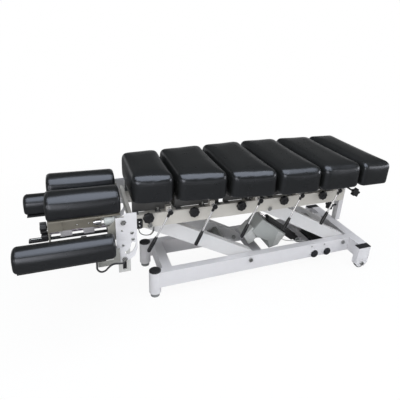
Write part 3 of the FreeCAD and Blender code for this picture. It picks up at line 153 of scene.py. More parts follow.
def floor():
    """A pale floor that keeps the table's shadow and turns into the white room further out."""
    mesh = bpy.data.meshes.new("floor")
    mesh.from_pydata([(x * FLOOR_REACH, y * FLOOR_REACH, 0) for x, y in ((-1, -1), (1, -1), (1, 1), (-1, 1))], [],
                     [(0, 1, 2, 3)])
    ground = placed("floor", mesh)
    pale = bpy.data.materials.new("pale_floor")
    pale.use_nodes = True
    tree = pale.node_tree
    tree.nodes.clear()
    matt = tree.nodes.new("ShaderNodeBsdfDiffuse")
    matt.inputs["Color"].default_value = FLOOR_PAINT
    away = tree.nodes.new("ShaderNodeVectorMath")
    away.operation = "LENGTH"
    tree.links.new(tree.nodes.new("ShaderNodeTexCoord").outputs["Object"], away.inputs[0])
    seen, shown = rays(tree)
    spread = fade(tree, away.outputs["Value"], GLOW_CHANGES_FROM, GLOW_CHANGES_TO, FLOOR_GLOW_NEAR, FLOOR_GLOW_FAR)
    share = maths(tree, "MULTIPLY", shown, spread)
    glow = tree.nodes.new("ShaderNodeEmission")
    glow.inputs["Color"].default_value = (1, 1, 1, 1)
    tree.links.new(maths(tree, "MAXIMUM", seen, FLOOR_GLOSS), glow.inputs["Strength"])
    mix = tree.nodes.new("ShaderNodeMixShader")
    out = tree.nodes.new("ShaderNodeOutputMaterial")
    links(tree, (share, mix.inputs[0]), (matt.outputs[0], mix.inputs[1]), (glow.outputs[0], mix.inputs[2]),
          (mix.outputs[0], out.inputs["Surface"]))
    mesh.materials.append(pale)


# Soft boxes: name, place, target, size, watts, colour
LAMPS = (
    ("over", (0.0, -0.7, 2.85), (0.0, -0.5, 0.5), (3.8, 3.2), 104, (0.9, 0.945, 1)),
    ("front", (-1.8, -2.8, 1.2), (0.0, 0.0, 0.3), (1.8, 1.4), 24, (1, 0.98, 0.96)),
    ("side", (3.2, -1.4, 1.3), (0.3, 0.0, 0.3), (1.6, 1.2), 26, (1, 0.99, 0.98)),
)


def lamps():
    """A wide box overhead, one from the viewer's left and one from the foot end; each faces its target."""
    for name, at, target, size, watts, colour in LAMPS:
        data = bpy.data.lights.new(name, "AREA")
        data.shape = "RECTANGLE"
        data.size, data.size_y = size
        data.energy = watts
        data.color = colour
        box = placed(name, data)
        box.location = at
        box.rotation_euler = (Vector(target) - Vector(at)).to_track_quat("-Z", "Y").to_euler()


def links(tree, *pairs):
    for source, target in pairs:
        tree.links.new(source, target)


RELIEF = 0.3 * MM
WEAR_FINER = 2.3


def finish(name, colour, roughness, metallic=0.0, mottle=0.08, mottle_size=30, grain=0.05, grain_size=1.2,
           coat=0.0, specular=0.5, tint=(1, 1, 1), smudge=0.25, cells=False):
    """A surface with clouds of slightly lighter and darker colour, uneven gloss and a fine grain; sizes in mm."""
    made = bpy.data.materials.new(name)
    made.use_nodes = True
    tree = made.node_tree
    shader = tree.nodes["Principled BSDF"]
    shader.inputs["Metallic"].default_value = metallic
    shader.inputs["Coat Weight"].default_value = coat
    shader.inputs["Specular IOR Level"].default_value = specular
    shader.inputs["Specular Tint"].default_value = (*tint, 1)
    place = tree.nodes.new("ShaderNodeTexCoord").outputs["Object"]

    clouds = tree.nodes.new("ShaderNodeTexNoise")
    clouds.inputs["Scale"].default_value = 1 / (mottle_size * MM)
    clouds.inputs["Detail"].default_value = 4
    tree.links.new(place, clouds.inputs["Vector"])
    tones = blended(tree, clouds.outputs["Fac"], tuple(part * (1 - mottle) for part in colour),
                    tuple(min(1.0, part * (1 + mottle)) for part in colour))
    tree.links.new(tones, shader.inputs["Base Color"])

    wear = tree.nodes.new("ShaderNodeTexNoise")
    wear.inputs["Scale"].default_value = WEAR_FINER / (mottle_size * MM)
    wear.inputs["Detail"].default_value = 6
    gloss = tree.nodes.new("ShaderNodeMapRange")
    gloss.inputs["To Min"].default_value = roughness * (1 - smudge)
    gloss.inputs["To Max"].default_value = min(1.0, roughness * (1 + smudge))
    links(tree, (place, wear.inputs["Vector"]), (wear.outputs["Fac"], gloss.inputs["Value"]),
          (gloss.outputs["Result"], shader.inputs["Roughness"]))

    relief = tree.nodes.new("ShaderNodeBump")
    relief.inputs["Strength"].default_value = grain
    relief.inputs["Distance"].default_value = RELIEF
    if cells:
        pebble = tree.nodes.new("ShaderNodeTexVoronoi")
        pebble.feature = "DISTANCE_TO_EDGE"
        height = pebble.outputs["Distance"]
    else:
        pebble = tree.nodes.new("ShaderNodeTexNoise")
        height = pebble.outputs["Fac"]
    pebble.inputs["Scale"].default_value = 1 / (grain_size * MM)
    links(tree, (place, pebble.inputs["Vector"]), (height, relief.inputs["Height"]),
          (relief.outputs["Normal"], shader.inputs["Normal"]))
    return made


def blended(tree, share, first, second):
    """A mix of two colours; each is a colour or a socket, and the share is a socket."""
    mix = tree.nodes.new("ShaderNodeMix")
    mix.data_type = "RGBA"
    tree.links.new(share, mix.inputs["Factor"])
    for name, value in (("A", first), ("B", second)):
        if isinstance(value, tuple):
            mix.inputs[name].default_value = (*value, 1)
        else:
            tree.links.new(value, mix.inputs[name])
    return mix.outputs["Result"]


def zoned(made, axis, limit, inner, both_sides=False):
    """Another colour where the place along the axis, or its distance from the middle, is below the limit."""
    tree = made.node_tree
    shader = tree.nodes["Principled BSDF"]
    outer = shader.inputs["Base Color"].links[0].from_socket
    place = tree.nodes.new("ShaderNodeSeparateXYZ")
    tree.links.new(tree.nodes.new("ShaderNodeTexCoord").outputs["Object"], place.inputs[0])
    value = place.outputs[axis]
    if both_sides:
        value = maths(tree, "ABSOLUTE", value, 0)
    colour = blended(tree, maths(tree, "GREATER_THAN", value, limit), inner, outer)
    tree.links.new(colour, shader.inputs["Base Color"])
    return made


def rod_satin_painted_reflections():
    """Bright drawn rod with a faint spiral of pinkish streaks, a painted reflection in its colour."""
    made = finish("rod_satin_painted_reflections", (0.86, 0.84, 0.87), 0.3, metallic=0.75, mottle=0.03, grain=0.03)
    tree = made.node_tree
    shader = tree.nodes["Principled BSDF"]
    # Painted reflection: pinkish diagonal streaks laid into the base colour
    reflection_streaks = tree.nodes.new("ShaderNodeTexWave")
    reflection_streaks.bands_direction = "DIAGONAL"
    reflection_streaks.inputs["Scale"].default_value = 26
    reflection_streaks.inputs["Distortion"].default_value = 0.6
    tree.links.new(tree.nodes.new("ShaderNodeTexCoord").outputs["Object"], reflection_streaks.inputs["Vector"])
    colour = blended(tree, reflection_streaks.outputs["Fac"], (0.58, 0.5, 0.62), (0.93, 0.91, 0.93))
    tree.links.new(colour, shader.inputs["Base Color"])
    return made


ALONG, ACROSS, UP = 0, 1, 2
# Nearer the middle than the arms' inner faces, the arm paint turns dark grey-green as painted shade
ARM_INNER_FACE = 0.0785
SLIDER_TOP = 0.4525
BRACKET_PLATE_END = -0.585


def finishes():
    """Every finish by name: the record's slots, and those of single nodes and pieces."""
    return {
        "frame_paint": finish("white_paint", (0.74, 0.73, 0.75), 0.36, mottle=0.03, grain=0.12, grain_size=1.6,
                              coat=0.25),
        # Painted shade: the arms' inner faces and the parts between them take a dark grey-green for the shade
        # under the table
        "arm_paint": zoned(finish("arm_white_paint_shaded_inside", (0.72, 0.715, 0.72), 0.38, mottle=0.03, grain=0.12,
                                  grain_size=1.6, coat=0.2), ACROSS, ARM_INNER_FACE, (0.27, 0.28, 0.26),
                           both_sides=True),
        # Painted shade: the plate is set dark grey, far darker than the frame's white, for the shade between the
        # arms
        "plate_paint": finish("plate_dark_grey_painted_shade", (0.1, 0.1, 0.1), 0.5, grain=0.2),
        "head_paint": finish("head_grey_paint", (0.36, 0.35, 0.31), 0.34, mottle=0.12, mottle_size=18, coat=0.3),
        "carriage_paint": zoned(finish("carriage_olive_paint", (0.3, 0.28, 0.235), 0.38, mottle=0.12, coat=0.2),
                                UP, SLIDER_TOP, (0.62, 0.6, 0.62)),
        "black_plastic": finish("black_plastic", (0.02, 0.02, 0.022), 0.42, grain=0.3, grain_size=0.8),
        "grip": finish("grip_black", (0.013, 0.013, 0.015), 0.24, grain=0.1, coat=0.3),
        "button_black": finish("button_black", (0.015, 0.016, 0.02), 0.28, coat=0.3),
        "foot_rubber": finish("foot_rubber", (0.3, 0.31, 0.31), 0.42, grain=0.15),
        "wheel_tread": finish("wheel_tread", (0.03, 0.03, 0.032), 0.62, grain=0.3),
        "zinc": finish("zinc", (0.46, 0.47, 0.46), 0.36, metallic=1.0, mottle=0.14, mottle_size=6),
        "chrome": finish("chrome", (0.82, 0.8, 0.82), 0.12, metallic=1.0, mottle=0.03, grain=0.02),
        "actuator_grey": finish("actuator_grey", (0.5, 0.52, 0.51), 0.4, mottle=0.05, grain=0.2, grain_size=0.9),
        "actuator_black": finish("actuator_black", (0.03, 0.03, 0.032), 0.4, grain=0.2),
        "box_plastic": finish("box_black", (0.035, 0.036, 0.036), 0.45, grain=0.3),
        "cable_white": finish("cable_white", (0.72, 0.72, 0.7), 0.42, mottle=0.04, grain=0.05),
        "release_black": finish("release_black", (0.03, 0.03, 0.033), 0.35, grain=0.1),
        "knob_black": finish("knob_black", (0.014, 0.014, 0.016), 0.3, grain=0.14, grain_size=0.8, coat=0.15),
        "zinc_bright": finish("zinc_bright", (0.75, 0.76, 0.75), 0.26, metallic=1.0, mottle=0.08, mottle_size=6),
        "seam_thread": finish("seam_thread", (0.02, 0.02, 0.023), 0.45, mottle=0.2, mottle_size=2, grain=0.3),
        # Painted shade: the beam's white is set darker and warmer for the shade that the cushions cast on it
        "beam_shaded_paint": finish("beam_warm_painted_shade", (0.6, 0.575, 0.53), 0.38, mottle=0.04, grain=0.12, grain_size=1.6,
                             coat=0.2),
        "bracket_paint": zoned(finish("bracket_pale_paint", (0.55, 0.55, 0.53), 0.4, grain=0.15, coat=0.1),
                               ALONG, BRACKET_PLATE_END, (0.03, 0.03, 0.032)),
        "plate_pale": finish("tray_grey_paint", (0.3, 0.3, 0.28), 0.45, mottle=0.2, mottle_size=12, grain=0.2),
        "motor_paint": finish("motor_pale_grey", (0.47, 0.49, 0.48), 0.42, mottle=0.05, grain=0.3, grain_size=0.9),
        "motor_end": finish("motor_speckled_end", (0.62, 0.63, 0.62), 0.5, mottle=0.22, mottle_size=7, grain=0.5),
        "rod_satin_painted_reflections": rod_satin_painted_reflections(),
        "stick_bright": finish("stick_bright", (0.93, 0.92, 0.93), 0.2, metallic=0.6, mottle=0.03, grain=0.02),
        "cushion_cover": finish("black_vinyl", (0.0105, 0.011, 0.0105), 0.29, mottle=0.14, mottle_size=60,
                                grain=0.2, grain_size=1.4, specular=0.92, tint=(0.84, 0.88, 1.0), smudge=0.15,
                                cells=True),
    }


SECTION_NUMBERS = range(1, 6)
OWN_FINISH = {"upper_frame": "beam_shaded_paint", "armrest_bracket_front": "bracket_paint",
              "armrest_bracket_rear": "bracket_paint", "head_rods": "rod_satin_painted_reflections", "upper_bolts": "zinc_bright",
              **{f"drop_lever_{number}": "stick_bright" for number in SECTION_NUMBERS}}


def dress(looks):
    """Every CAD node takes the finish of its slot, or its own."""
    for part in frame["record"]["subparts"]:
        mesh = frame["nodes"][part["node"]].data
        mesh.materials.clear()
        mesh.materials.append(looks[OWN_FINISH.get(part["node"], part["material_slot"])])


def rounded_plan(corners, radius, steps=7):
    """The outline through these corners, anticlockwise, each rounded by an arc of that radius."""
    points = []
    for index, corner in enumerate(corners):
        back = (corners[index - 1] - corner).normalized()
        ahead = (corners[(index + 1) % len(corners)] - corner).normalized()
        half = back.angle(ahead) / 2
        centre = corner + (back + ahead).normalized() * (radius / math.sin(half))
        start = corner + back * (radius / math.tan(half)) - centre
        sweep = math.pi - 2 * half
        for step in range(steps + 1):
            turn = Matrix.Rotation(sweep * step / steps, 2)
            points.append(centre + turn @ start)
    return points


CREASE = math.radians(38)


def placed(name, data):
    """The data as an object of the scene."""
    made = bpy.data.objects.new(name, data)
    SCENE.collection.objects.link(made)
    return made


def formed(name, shape):
    """The finished shape as an object."""
    mesh = bpy.data.meshes.new(name)
    shape.to_mesh(mesh)
    shape.free()
    return placed(name, mesh)


def creased(piece):
    """The piece gets smooth faces, and sharp edges where it bends hard."""
    piece.data.shade_smooth()
    piece.data.set_sharp_from_angle(angle=CREASE)
    return piece


def evaluated(piece):
    """The mesh that the piece's modifiers or its round section give."""
    graph = bpy.context.evaluated_depsgraph_get()
    return bpy.data.meshes.new_from_object(piece.evaluated_get(graph))


def skin(name, rings, round_again=False):
    """A closed mesh from rings of the same number of points, capped at both ends or joined to the first again."""
    shape = bmesh.new()
    loops = [[shape.verts.new(point) for point in ring] for ring in rings]
    for low, high in zip(loops, loops[1:] + loops[:1] if round_again else loops[1:]):
        for index in range(len(low)):
            following = (index + 1) % len(low)
            shape.faces.new((low[index], low[following], high[following], high[index]))
    if not round_again:
        shape.faces.new(list(reversed(loops[0])))
        shape.faces.new(loops[-1])
    bmesh.ops.recalc_face_normals(shape, faces=shape.faces)
    return formed(name, shape)


EDGE_STEPS = 8
CROWN = 3 * MM
LEAST_CORNER = 10 * MM
# The crown's rings: further in at the sides, further in at the front, below the top, corner radius
CROWN_RINGS = ((30 * MM, 60 * MM, 0.6 * MM, 12 * MM), (60 * MM, 110 * MM, 0.0, 10 * MM))


def pad_shape(name, ends, halves, low, high, corner, side_edge, front_edge, bulge=5 * MM, foot=7 * MM):
    """A boxed cushion: its outline tapers, bulges at the front and the back, and is drawn in above and below."""
    left, right = ends
    half_left, half_right = halves

    def ring(side_inset, front_inset, height, radius):
        corners = [Vector((left + side_inset, -half_left + front_inset)),
                   Vector((right - side_inset, -half_right + front_inset)),
                   Vector((right - side_inset, half_right - front_inset)),
                   Vector((left + side_inset, half_left - front_inset))]
        points = []
        for along, across in rounded_plan(corners, radius):
            share = (along - left) / (right - left)
            swell = bulge * math.sin(math.pi * min(max(share, 0), 1)) - bulge
            points.append(Vector((along, across + math.copysign(swell, across), height)))
        return points

    rings = [ring(foot, foot, low, corner - foot), ring(0.4 * foot, 0.4 * foot, low + 0.3 * foot, corner),
             ring(0, 0, low + foot, corner), ring(0, 0, (low + high - front_edge) / 2, corner)]
    for step in range(EDGE_STEPS + 1):
        turn = math.pi / 2 * step / EDGE_STEPS
        drawn = 1 - math.cos(turn)
        rings.append(ring(side_edge * drawn, front_edge * drawn, high - CROWN - front_edge * (1 - math.sin(turn)),
                          max(corner - side_edge * drawn, LEAST_CORNER)))
    for inward, backward, below, radius in CROWN_RINGS:
        rings.append(ring(side_edge + inward, front_edge + backward, high - below, radius))
    return skin(name, rings)


DOME_STEPS, END_STEPS = 16, 4
# A dome's powers at its sides and its top, and its shoulders' share of the height
HEAD_DOME = (0.66, 0.8, 0.36)
ARMREST_DOME = (0.74, 0.86, 0.4)


def bolster_shape(name, left, right, centre, half, low, high, end, dome, foot=8 * MM):
    """A long pad with a domed top. Its flat ends are rounded over by the radius end."""
    side_power, top_power, shoulder_share = dome

    def ring(along, inset):
        side = half - inset
        base = low + inset / 2
        shoulder = low + shoulder_share * (high - low)
        points = []
        for step in range(DOME_STEPS + 1):
            turn = math.pi * step / DOME_STEPS
            across = math.copysign(abs(math.cos(turn)) ** side_power, math.cos(turn))
            risen = max(math.sin(turn), 0) ** top_power
            points.append((side * across, shoulder + (high - inset - shoulder) * risen))
        points += [(-side, base + foot), (-side + foot, base), (side - foot, base), (side, base + foot)]
        return [Vector((along, centre + y, z)) for y, z in points]

    turns = [math.pi / 2 * step / END_STEPS for step in range(END_STEPS + 1)]
    rounding = [(end * (1 - math.sin(turn)), end * (1 - math.cos(turn))) for turn in turns]
    rings = [ring(left + depth, inset) for depth, inset in reversed(rounding)]
    rings += [ring(right - depth, inset) for depth, inset in rounding]
    return skin(name, rings)


VOXEL = 8 * MM


def remesh(piece):
    """The piece's mesh is rebuilt from even cells."""
    cells = piece.modifiers.new("cells", "REMESH")
    cells.mode = "VOXEL"
    cells.voxel_size = VOXEL
    apply_all(piece)


def apply_all(piece):
    """The piece keeps the shape that its modifiers give it, as plain mesh."""
    mesh = evaluated(piece)
    piece.modifiers.clear()
    piece.data = mesh


STUFFING_FRAMES = 20
PRESSURE = 5
CLOTH_STIFFNESS, CLOTH_BENDING = 40, 8
EVENING_ROUNDS = 10


def evened(mesh, moves, rounds):
    """The moves of a mesh's points, each averaged with its neighbours' again and again."""
    neighbours = [[] for _ in mesh.vertices]
    for edge in mesh.edges:
        one, other = edge.vertices
        neighbours[one].append(other)
        neighbours[other].append(one)
    for _ in range(rounds):
        moves = [(move + sum((moves[other] for other in near), Vector())) / (len(near) + 1)
                 for move, near in zip(moves, neighbours)]
    return moves


def stuff(pads, cap):
    """Every pad swells like a filled cover, held flat at its base; no point moves further than the cap."""
    before = {}
    for pad in pads:
        before[pad] = [vertex.co.copy() for vertex in pad.data.vertices]
        lowest = min(point.z for point in before[pad])
        held = pad.vertex_groups.new(name="held")
        held.add([index for index, point in enumerate(before[pad]) if point.z < lowest + 2 * MM], 1.0, "REPLACE")
        cloth = pad.modifiers.new("stuffing", "CLOTH")
        cloth.settings.use_pressure = True
        cloth.settings.uniform_pressure_force = PRESSURE
        cloth.settings.tension_stiffness = CLOTH_STIFFNESS
        cloth.settings.compression_stiffness = CLOTH_STIFFNESS
        cloth.settings.bending_stiffness = CLOTH_BENDING
        cloth.settings.vertex_group_mass = "held"
        cloth.settings.effector_weights.gravity = 0
        cloth.settings.quality = 5
    for number in range(1, STUFFING_FRAMES + 1):
        SCENE.frame_set(number)
    for pad in pads:
        apply_all(pad)
        moves = [vertex.co - start for vertex, start in zip(pad.data.vertices, before[pad])]
        moves = [move * min(1, cap / move.length) if move.length else move for move in moves]
        for vertex, start, move in zip(pad.data.vertices, before[pad], evened(pad.data, moves, EVENING_ROUNDS)):
            vertex.co = start + move
    SCENE.frame_set(1)


def smooth(piece, levels=1):
    """One subdivision and smooth shading."""
    finer = piece.modifiers.new("finer", "SUBSURF")
    finer.levels = levels
    finer.render_levels = levels
    apply_all(piece)
    piece.data.shade_smooth()


SWELL = 1.5 * MM
MOST_SWELL = 3 * MM
# How far the covers' tops stand above the CAD cushions'
TOP_RISE = 5 * MM
HEAD_RISE = 8 * MM
SECTION_CORNER, FOOT_CORNER = 38 * MM, 22 * MM
SIDE_EDGE, FRONT_EDGE = 17 * MM, 31 * MM
PAD_END = 14 * MM
HEAD_PADS_APART = 60 * MM
OFF_BOARD = 1 * MM


def section_half(along):
    """Half the table's width at this place along it, from the widths of the end cushions."""
    low_1, high_1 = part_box("cushion_1")
    low_2, high_2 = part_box("cushion_2")
    slope = (high_2.y - high_1.y) / (high_2.x - high_1.x)
    return min(high_1.y + slope * (along - high_1.x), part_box("foot_cushion")[1].y)


def cushions():
    """The sections' cushions, the head pads and the armrest pads, as start shapes."""
    made = {}
    names = [f"cushion_{number}" for number in SECTION_NUMBERS] + ["foot_cushion"]
    for name in names:
        low, high = (Vector(corner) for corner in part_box(name))
        corner = FOOT_CORNER if name == "foot_cushion" else SECTION_CORNER
        halves = [section_half(edge) - SWELL for edge in (low.x, high.x)]
        made[name] = pad_shape("cover_" + name, (low.x + SWELL, high.x - SWELL), halves, low.z + OFF_BOARD,
                               high.z + TOP_RISE - SWELL, corner, SIDE_EDGE, FRONT_EDGE)
    low, high = (Vector(corner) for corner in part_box("head_cushions"))
    gap = HEAD_PADS_APART / 2
    half = (high.y - gap) / 2
    for name, sign in (("head_pad_near", -1), ("head_pad_far", 1)):
        made[name] = bolster_shape("cover_" + name, low.x + SWELL, high.x - SWELL, sign * (gap + half),
                                   half - SWELL, low.z + OFF_BOARD, high.z + HEAD_RISE - SWELL, PAD_END, HEAD_DOME)
    for name in ("armrest_pad_front", "armrest_pad_rear"):
        low, high = (Vector(corner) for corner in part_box(name))
        made[name] = bolster_shape("cover_" + name, low.x + SWELL, high.x - SWELL, (low.y + high.y) / 2,
                                   (high.y - low.y) / 2 - SWELL, low.z + OFF_BOARD, high.z - SWELL, PAD_END,
                                   ARMREST_DOME)
    return made


def upholstery(looks):
    """Cushions stuffed, covered and set on their bodies."""
    made = cushions()
    for pad in made.values():
        remesh(pad)
    stuff(list(made.values()), MOST_SWELL)
    homes = {"foot_cushion": "foot_section", "head_pad_near": "head_slide_carriage",
             "head_pad_far": "head_slide_carriage", "armrest_pad_front": "front_armrest",
             "armrest_pad_rear": "rear_armrest",
             **{f"cushion_{number}": f"section_{number}" for number in SECTION_NUMBERS}}
    for name, pad in made.items():
        smooth(pad)
        pad.data.materials.clear()
        pad.data.materials.append(looks["cushion_cover"])
        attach(pad, homes[name])
        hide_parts("head_cushions" if name.startswith("head_pad") else name)
    seams(made, looks)


def settle(piece, look, slot, body, *stands_for):
    """The piece gets its finish and rides on the body. The slot is not used."""
    piece.data.materials.clear()
    piece.data.materials.append(look)
    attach(piece, body)
    if stands_for:
        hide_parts(*stands_for)
    return piece


def facing(axis):
    """The turn that takes local Z to the axis."""
    return Vector(axis).to_track_quat("Z", "Y").to_matrix()


def turned(name, profile, at, axis, points=32, lobes=0, lobe_depth=0.0):
    """A turned piece: a profile of (radius, height along the axis, share of the lobes' depth)."""
    turn = facing(axis)
    rings = []
    for radius, height, share in profile:
        ring = []
        for step in range(points):
            angle = 2 * math.pi * step / points
            reach = radius - lobe_depth * share * (0.5 - 0.5 * math.cos(lobes * angle))
            local = Vector((reach * math.cos(angle), reach * math.sin(angle), height))
            ring.append(Vector(at) + turn @ local)
        rings.append(ring)
    return creased(skin(name, rings))


# A screw head's profile, in shares of its radius and its height
PAN_PROFILE = ((1, 0), (1, 0.25), (0.93, 0.6), (0.72, 0.9), (0.46, 1), (0.42, 0.94), (0.38, 0.35))
PAN_HEIGHT = 0.55


def pan_screw(name, at, axis, radius, look, slot, body):
    """A domed screw head with a round recess, seated on the surface at that place."""
    tall = PAN_HEIGHT * radius
    profile = [(out * radius, up * tall, 0) for out, up in PAN_PROFILE]
    return settle(turned(name, profile, at, axis, 20), look, slot, body)


def touch(node, start, direction):
    """Where a line from the start first meets that CAD node."""
    found, place, _, _ = frame["nodes"][node].ray_cast(Vector(start), Vector(direction).normalized())
    if not found:
        raise RuntimeError(f"nothing of {node} lies there")
    return place


def round_line(name, points, radius, rounds, smooth_line=True):
    """A curve with a round section along these points, straight from point to point or as one smooth line."""
    data = bpy.data.curves.new(name, "CURVE")
    data.dimensions = "3D"
    spline = data.splines.new("NURBS" if smooth_line else "POLY")
    spline.points.add(len(points) - 1)
    for place, point in zip(spline.points, points):
        place.co = (*point, 1)
    if smooth_line:
        spline.order_u = 3
        spline.use_endpoint_u = True
    data.bevel_depth = radius
    data.bevel_resolution = rounds
    data.use_fill_caps = True
    return placed(name, data)


def bar(name, points, radius, rounds=3, smooth_line=False):
    """A round bar or thread along these points, as a mesh."""
    line = round_line(name + "_line", points, radius, rounds, smooth_line)
    mesh = evaluated(line)
    bpy.data.objects.remove(line)
    mesh.shade_smooth()
    return placed(name, mesh)


def block(name, low, high, radius, segments=3):
    """A box with rounded edges."""
    shape = bmesh.new()
    bmesh.ops.create_cube(shape, size=1)
    low, high = Vector(low), Vector(high)
    for vertex in shape.verts:
        vertex.co = Vector(low[i] + (high[i] - low[i]) * (vertex.co[i] + 0.5) for i in range(3))
    bmesh.ops.bevel(shape, geom=shape.edges[:], offset=radius, segments=segments, profile=0.5, affect="EDGES")
    return creased(formed(name, shape))


def side_block(name, sign, ends, depths, heights, radius, segments=3):
    """A block on the near (-1) or the far (1) side: its ends, its distances from the middle and its heights."""
    near, far = sorted(sign * depth for depth in depths)
    return block(name, (ends[0], near, heights[0]), (ends[1], far, heights[1]), radius, segments)


def prism(name, outline, half_depth, radius):
    """A body with this outline seen from the side (along, height), as deep to the front as to the back."""
    shape = bmesh.new()
    front = [shape.verts.new((along, -half_depth, height)) for along, height in outline]
    back = [shape.verts.new((along, half_depth, height)) for along, height in outline]
    shape.faces.new(front)
    shape.faces.new(list(reversed(back)))
    for index in range(len(outline)):
        following = (index + 1) % len(outline)
        shape.faces.new((front[following], front[index], back[index], back[following]))
    bmesh.ops.recalc_face_normals(shape, faces=shape.faces)
    bmesh.ops.bevel(shape, geom=shape.edges[:], offset=radius, segments=3, profile=0.5, affect="EDGES")
    return creased(formed(name, shape))


# The base's two leads, from the glands to the front rail, and what each measures
LEAD_RADIUS = 2.5 * MM
LEADS = (
    ((0.672, -0.074, 0.090), (0.672, -0.084, 0.090), (0.667, -0.097, 0.100), (0.659, -0.109, 0.100),
     (0.655, -0.114, 0.092), (0.655, -0.123, 0.092)),
    ((0.7145, -0.074, 0.090), (0.7145, -0.084, 0.090), (0.709, -0.097, 0.100), (0.701, -0.109, 0.100),
     (0.697, -0.114, 0.092), (0.697, -0.123, 0.092)),
)
LEAD_LENGTHS = (0.0576, 0.0576)

# The switch's lead, a loop below the front beam
LOOP = ((-0.424, -0.139, 0.420), (-0.424, -0.139, 0.408), (-0.421, -0.139, 0.388), (-0.409, -0.139, 0.374),
        (-0.392, -0.139, 0.367), (-0.373, -0.139, 0.366), (-0.358, -0.139, 0.374), (-0.353, -0.139, 0.390),
        (-0.353, -0.139, 0.408), (-0.353, -0.139, 0.420))
LOOP_DIAMETER = 4 * MM

# The motor's lead, from its housing to the control box
MOTOR_LEAD = ((0.430, -0.030, 0.148), (0.437, -0.030, 0.143), (0.452, -0.032, 0.130), (0.475, -0.036, 0.119),
              (0.510, -0.042, 0.113), (0.550, -0.051, 0.112), (0.585, -0.058, 0.113), (0.606, -0.060, 0.108),
              (0.623, -0.060, 0.103))
MOTOR_LEAD_DIAMETER = 5 * MM


def cord_line(name, points, diameter):
    """A cord as a curve: one open spline with the route's own points."""
    cord = round_line(name, points, diameter / 2, 4)
    cord.data.splines[0].resolution_u = 10
    return cord


def cords(looks):
    """The base's leads and the switch's loop."""
    for number, (route, length) in enumerate(zip(LEADS, LEAD_LENGTHS), 1):
        lead = cord_line(f"base_lead_{number}", route, 2 * LEAD_RADIUS)
        settle(lead, looks["cable_white"], "cable_white", "base", "base_cables")
    loop = cord_line("switch_lead", LOOP, LOOP_DIAMETER)
    settle(loop, looks["release_black"], "release_black", "table")


def motor_cord(looks):
    """The motor's lead as a mesh tube; the path that it follows is worked out but not kept."""
    lead = cord_line("motor_lead", MOTOR_LEAD, MOTOR_LEAD_DIAMETER)
    tube = evaluated(lead)
    lead.data.bevel_depth = 0
    lead.data.use_fill_caps = False
    path = [tuple(vertex.co) for vertex in evaluated(lead).vertices]
    bpy.data.objects.remove(lead)
    made = placed("motor_lead", tube)
    tube.shade_smooth()
    tube.materials.clear()
    tube.materials.append(looks["cable_white"])
    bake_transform(made)


WELT_RADIUS, FINE_WELT_RADIUS = 0.9 * MM, 0.6 * MM
WELT_PROUD = 0.15


def seam(name, pad, points, looks, radius=WELT_RADIUS):
    """A welted seam laid onto the finished cover along a line of points near it; it belongs to its pad."""
    tree = BVHTree.FromPolygons([vertex.co for vertex in pad.data.vertices],
                                [list(face.vertices) for face in pad.data.polygons])
    line = []
    for point in points:
        place, normal, _, _ = tree.find_nearest(Vector(point))
        line.append(place + normal * WELT_PROUD * radius)
    welt = bar(name, line, radius, 2)
    welt.data.materials.append(looks["seam_thread"])
    welt.parent = pad


HOOP_STEPS = 48
HOOP_FROM, HOOP_SWEEP = -35, 250
# How far the hoop's points stand off the pad, in shares of its half width and its height
HOOP_WIDE, HOOP_TALL = 1.2, 0.75


def hoop(along, centre, half, low, high):
    """Points around a long pad at that place along it, from one lower edge over the top to the other."""
    middle = Vector((along, centre, (low + high) / 2))
    turns = [math.radians(HOOP_FROM + HOOP_SWEEP * step / HOOP_STEPS) for step in range(HOOP_STEPS + 1)]
    return [middle + Vector((0, HOOP_WIDE * half * math.cos(turn), HOOP_TALL * (high - low) * math.sin(turn)))
            for turn in turns]


SEAM_SPACING = 15 * MM


def side_line(low, high, halves, height):
    """Points around a section's cushion at that height."""
    corners = [Vector((low.x, -halves[0])), Vector((high.x, -halves[1])), Vector((high.x, halves[1])),
               Vector((low.x, halves[0]))]
    plan = rounded_plan(corners, SECTION_CORNER, 5)
    dense = []
    for point, following in zip(plan, plan[1:] + plan[:1]):
        parts = max(1, round((following - point).length / SEAM_SPACING))
        dense += [point.lerp(following, part / parts) for part in range(parts)]
    dense.append(dense[0])
    return [Vector((point.x, point.y, height)) for point in dense]


PAD_SEAM_INSET = 14 * MM
TOP_SEAM_DEPTH = 46 * MM


def seams(pads, looks):
    """The end seams of the head pads and the armrests' pads, and the seam around each section's cushion."""
    for name, pad in pads.items():
        points = [vertex.co for vertex in pad.data.vertices]
        low = Vector(min(point[i] for point in points) for i in range(3))
        high = Vector(max(point[i] for point in points) for i in range(3))
        if name in ("head_pad_near", "head_pad_far", "armrest_pad_front", "armrest_pad_rear"):
            half = (high.y - low.y) / 2
            for end, along in (("left", low.x + PAD_SEAM_INSET), ("right", high.x - PAD_SEAM_INSET)):
                seam(f"seam_{name}_{end}", pad, hoop(along, (low.y + high.y) / 2, half, low.z, high.z), looks)
        else:
            box_low, box_high = (Vector(corner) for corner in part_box(name))
            halves = [section_half(edge) for edge in (box_low.x, box_high.x)]
            seam(f"seam_{name}", pad, side_line(box_low, box_high, halves, high.z - TOP_SEAM_DEPTH), looks,
                 FINE_WELT_RADIUS)


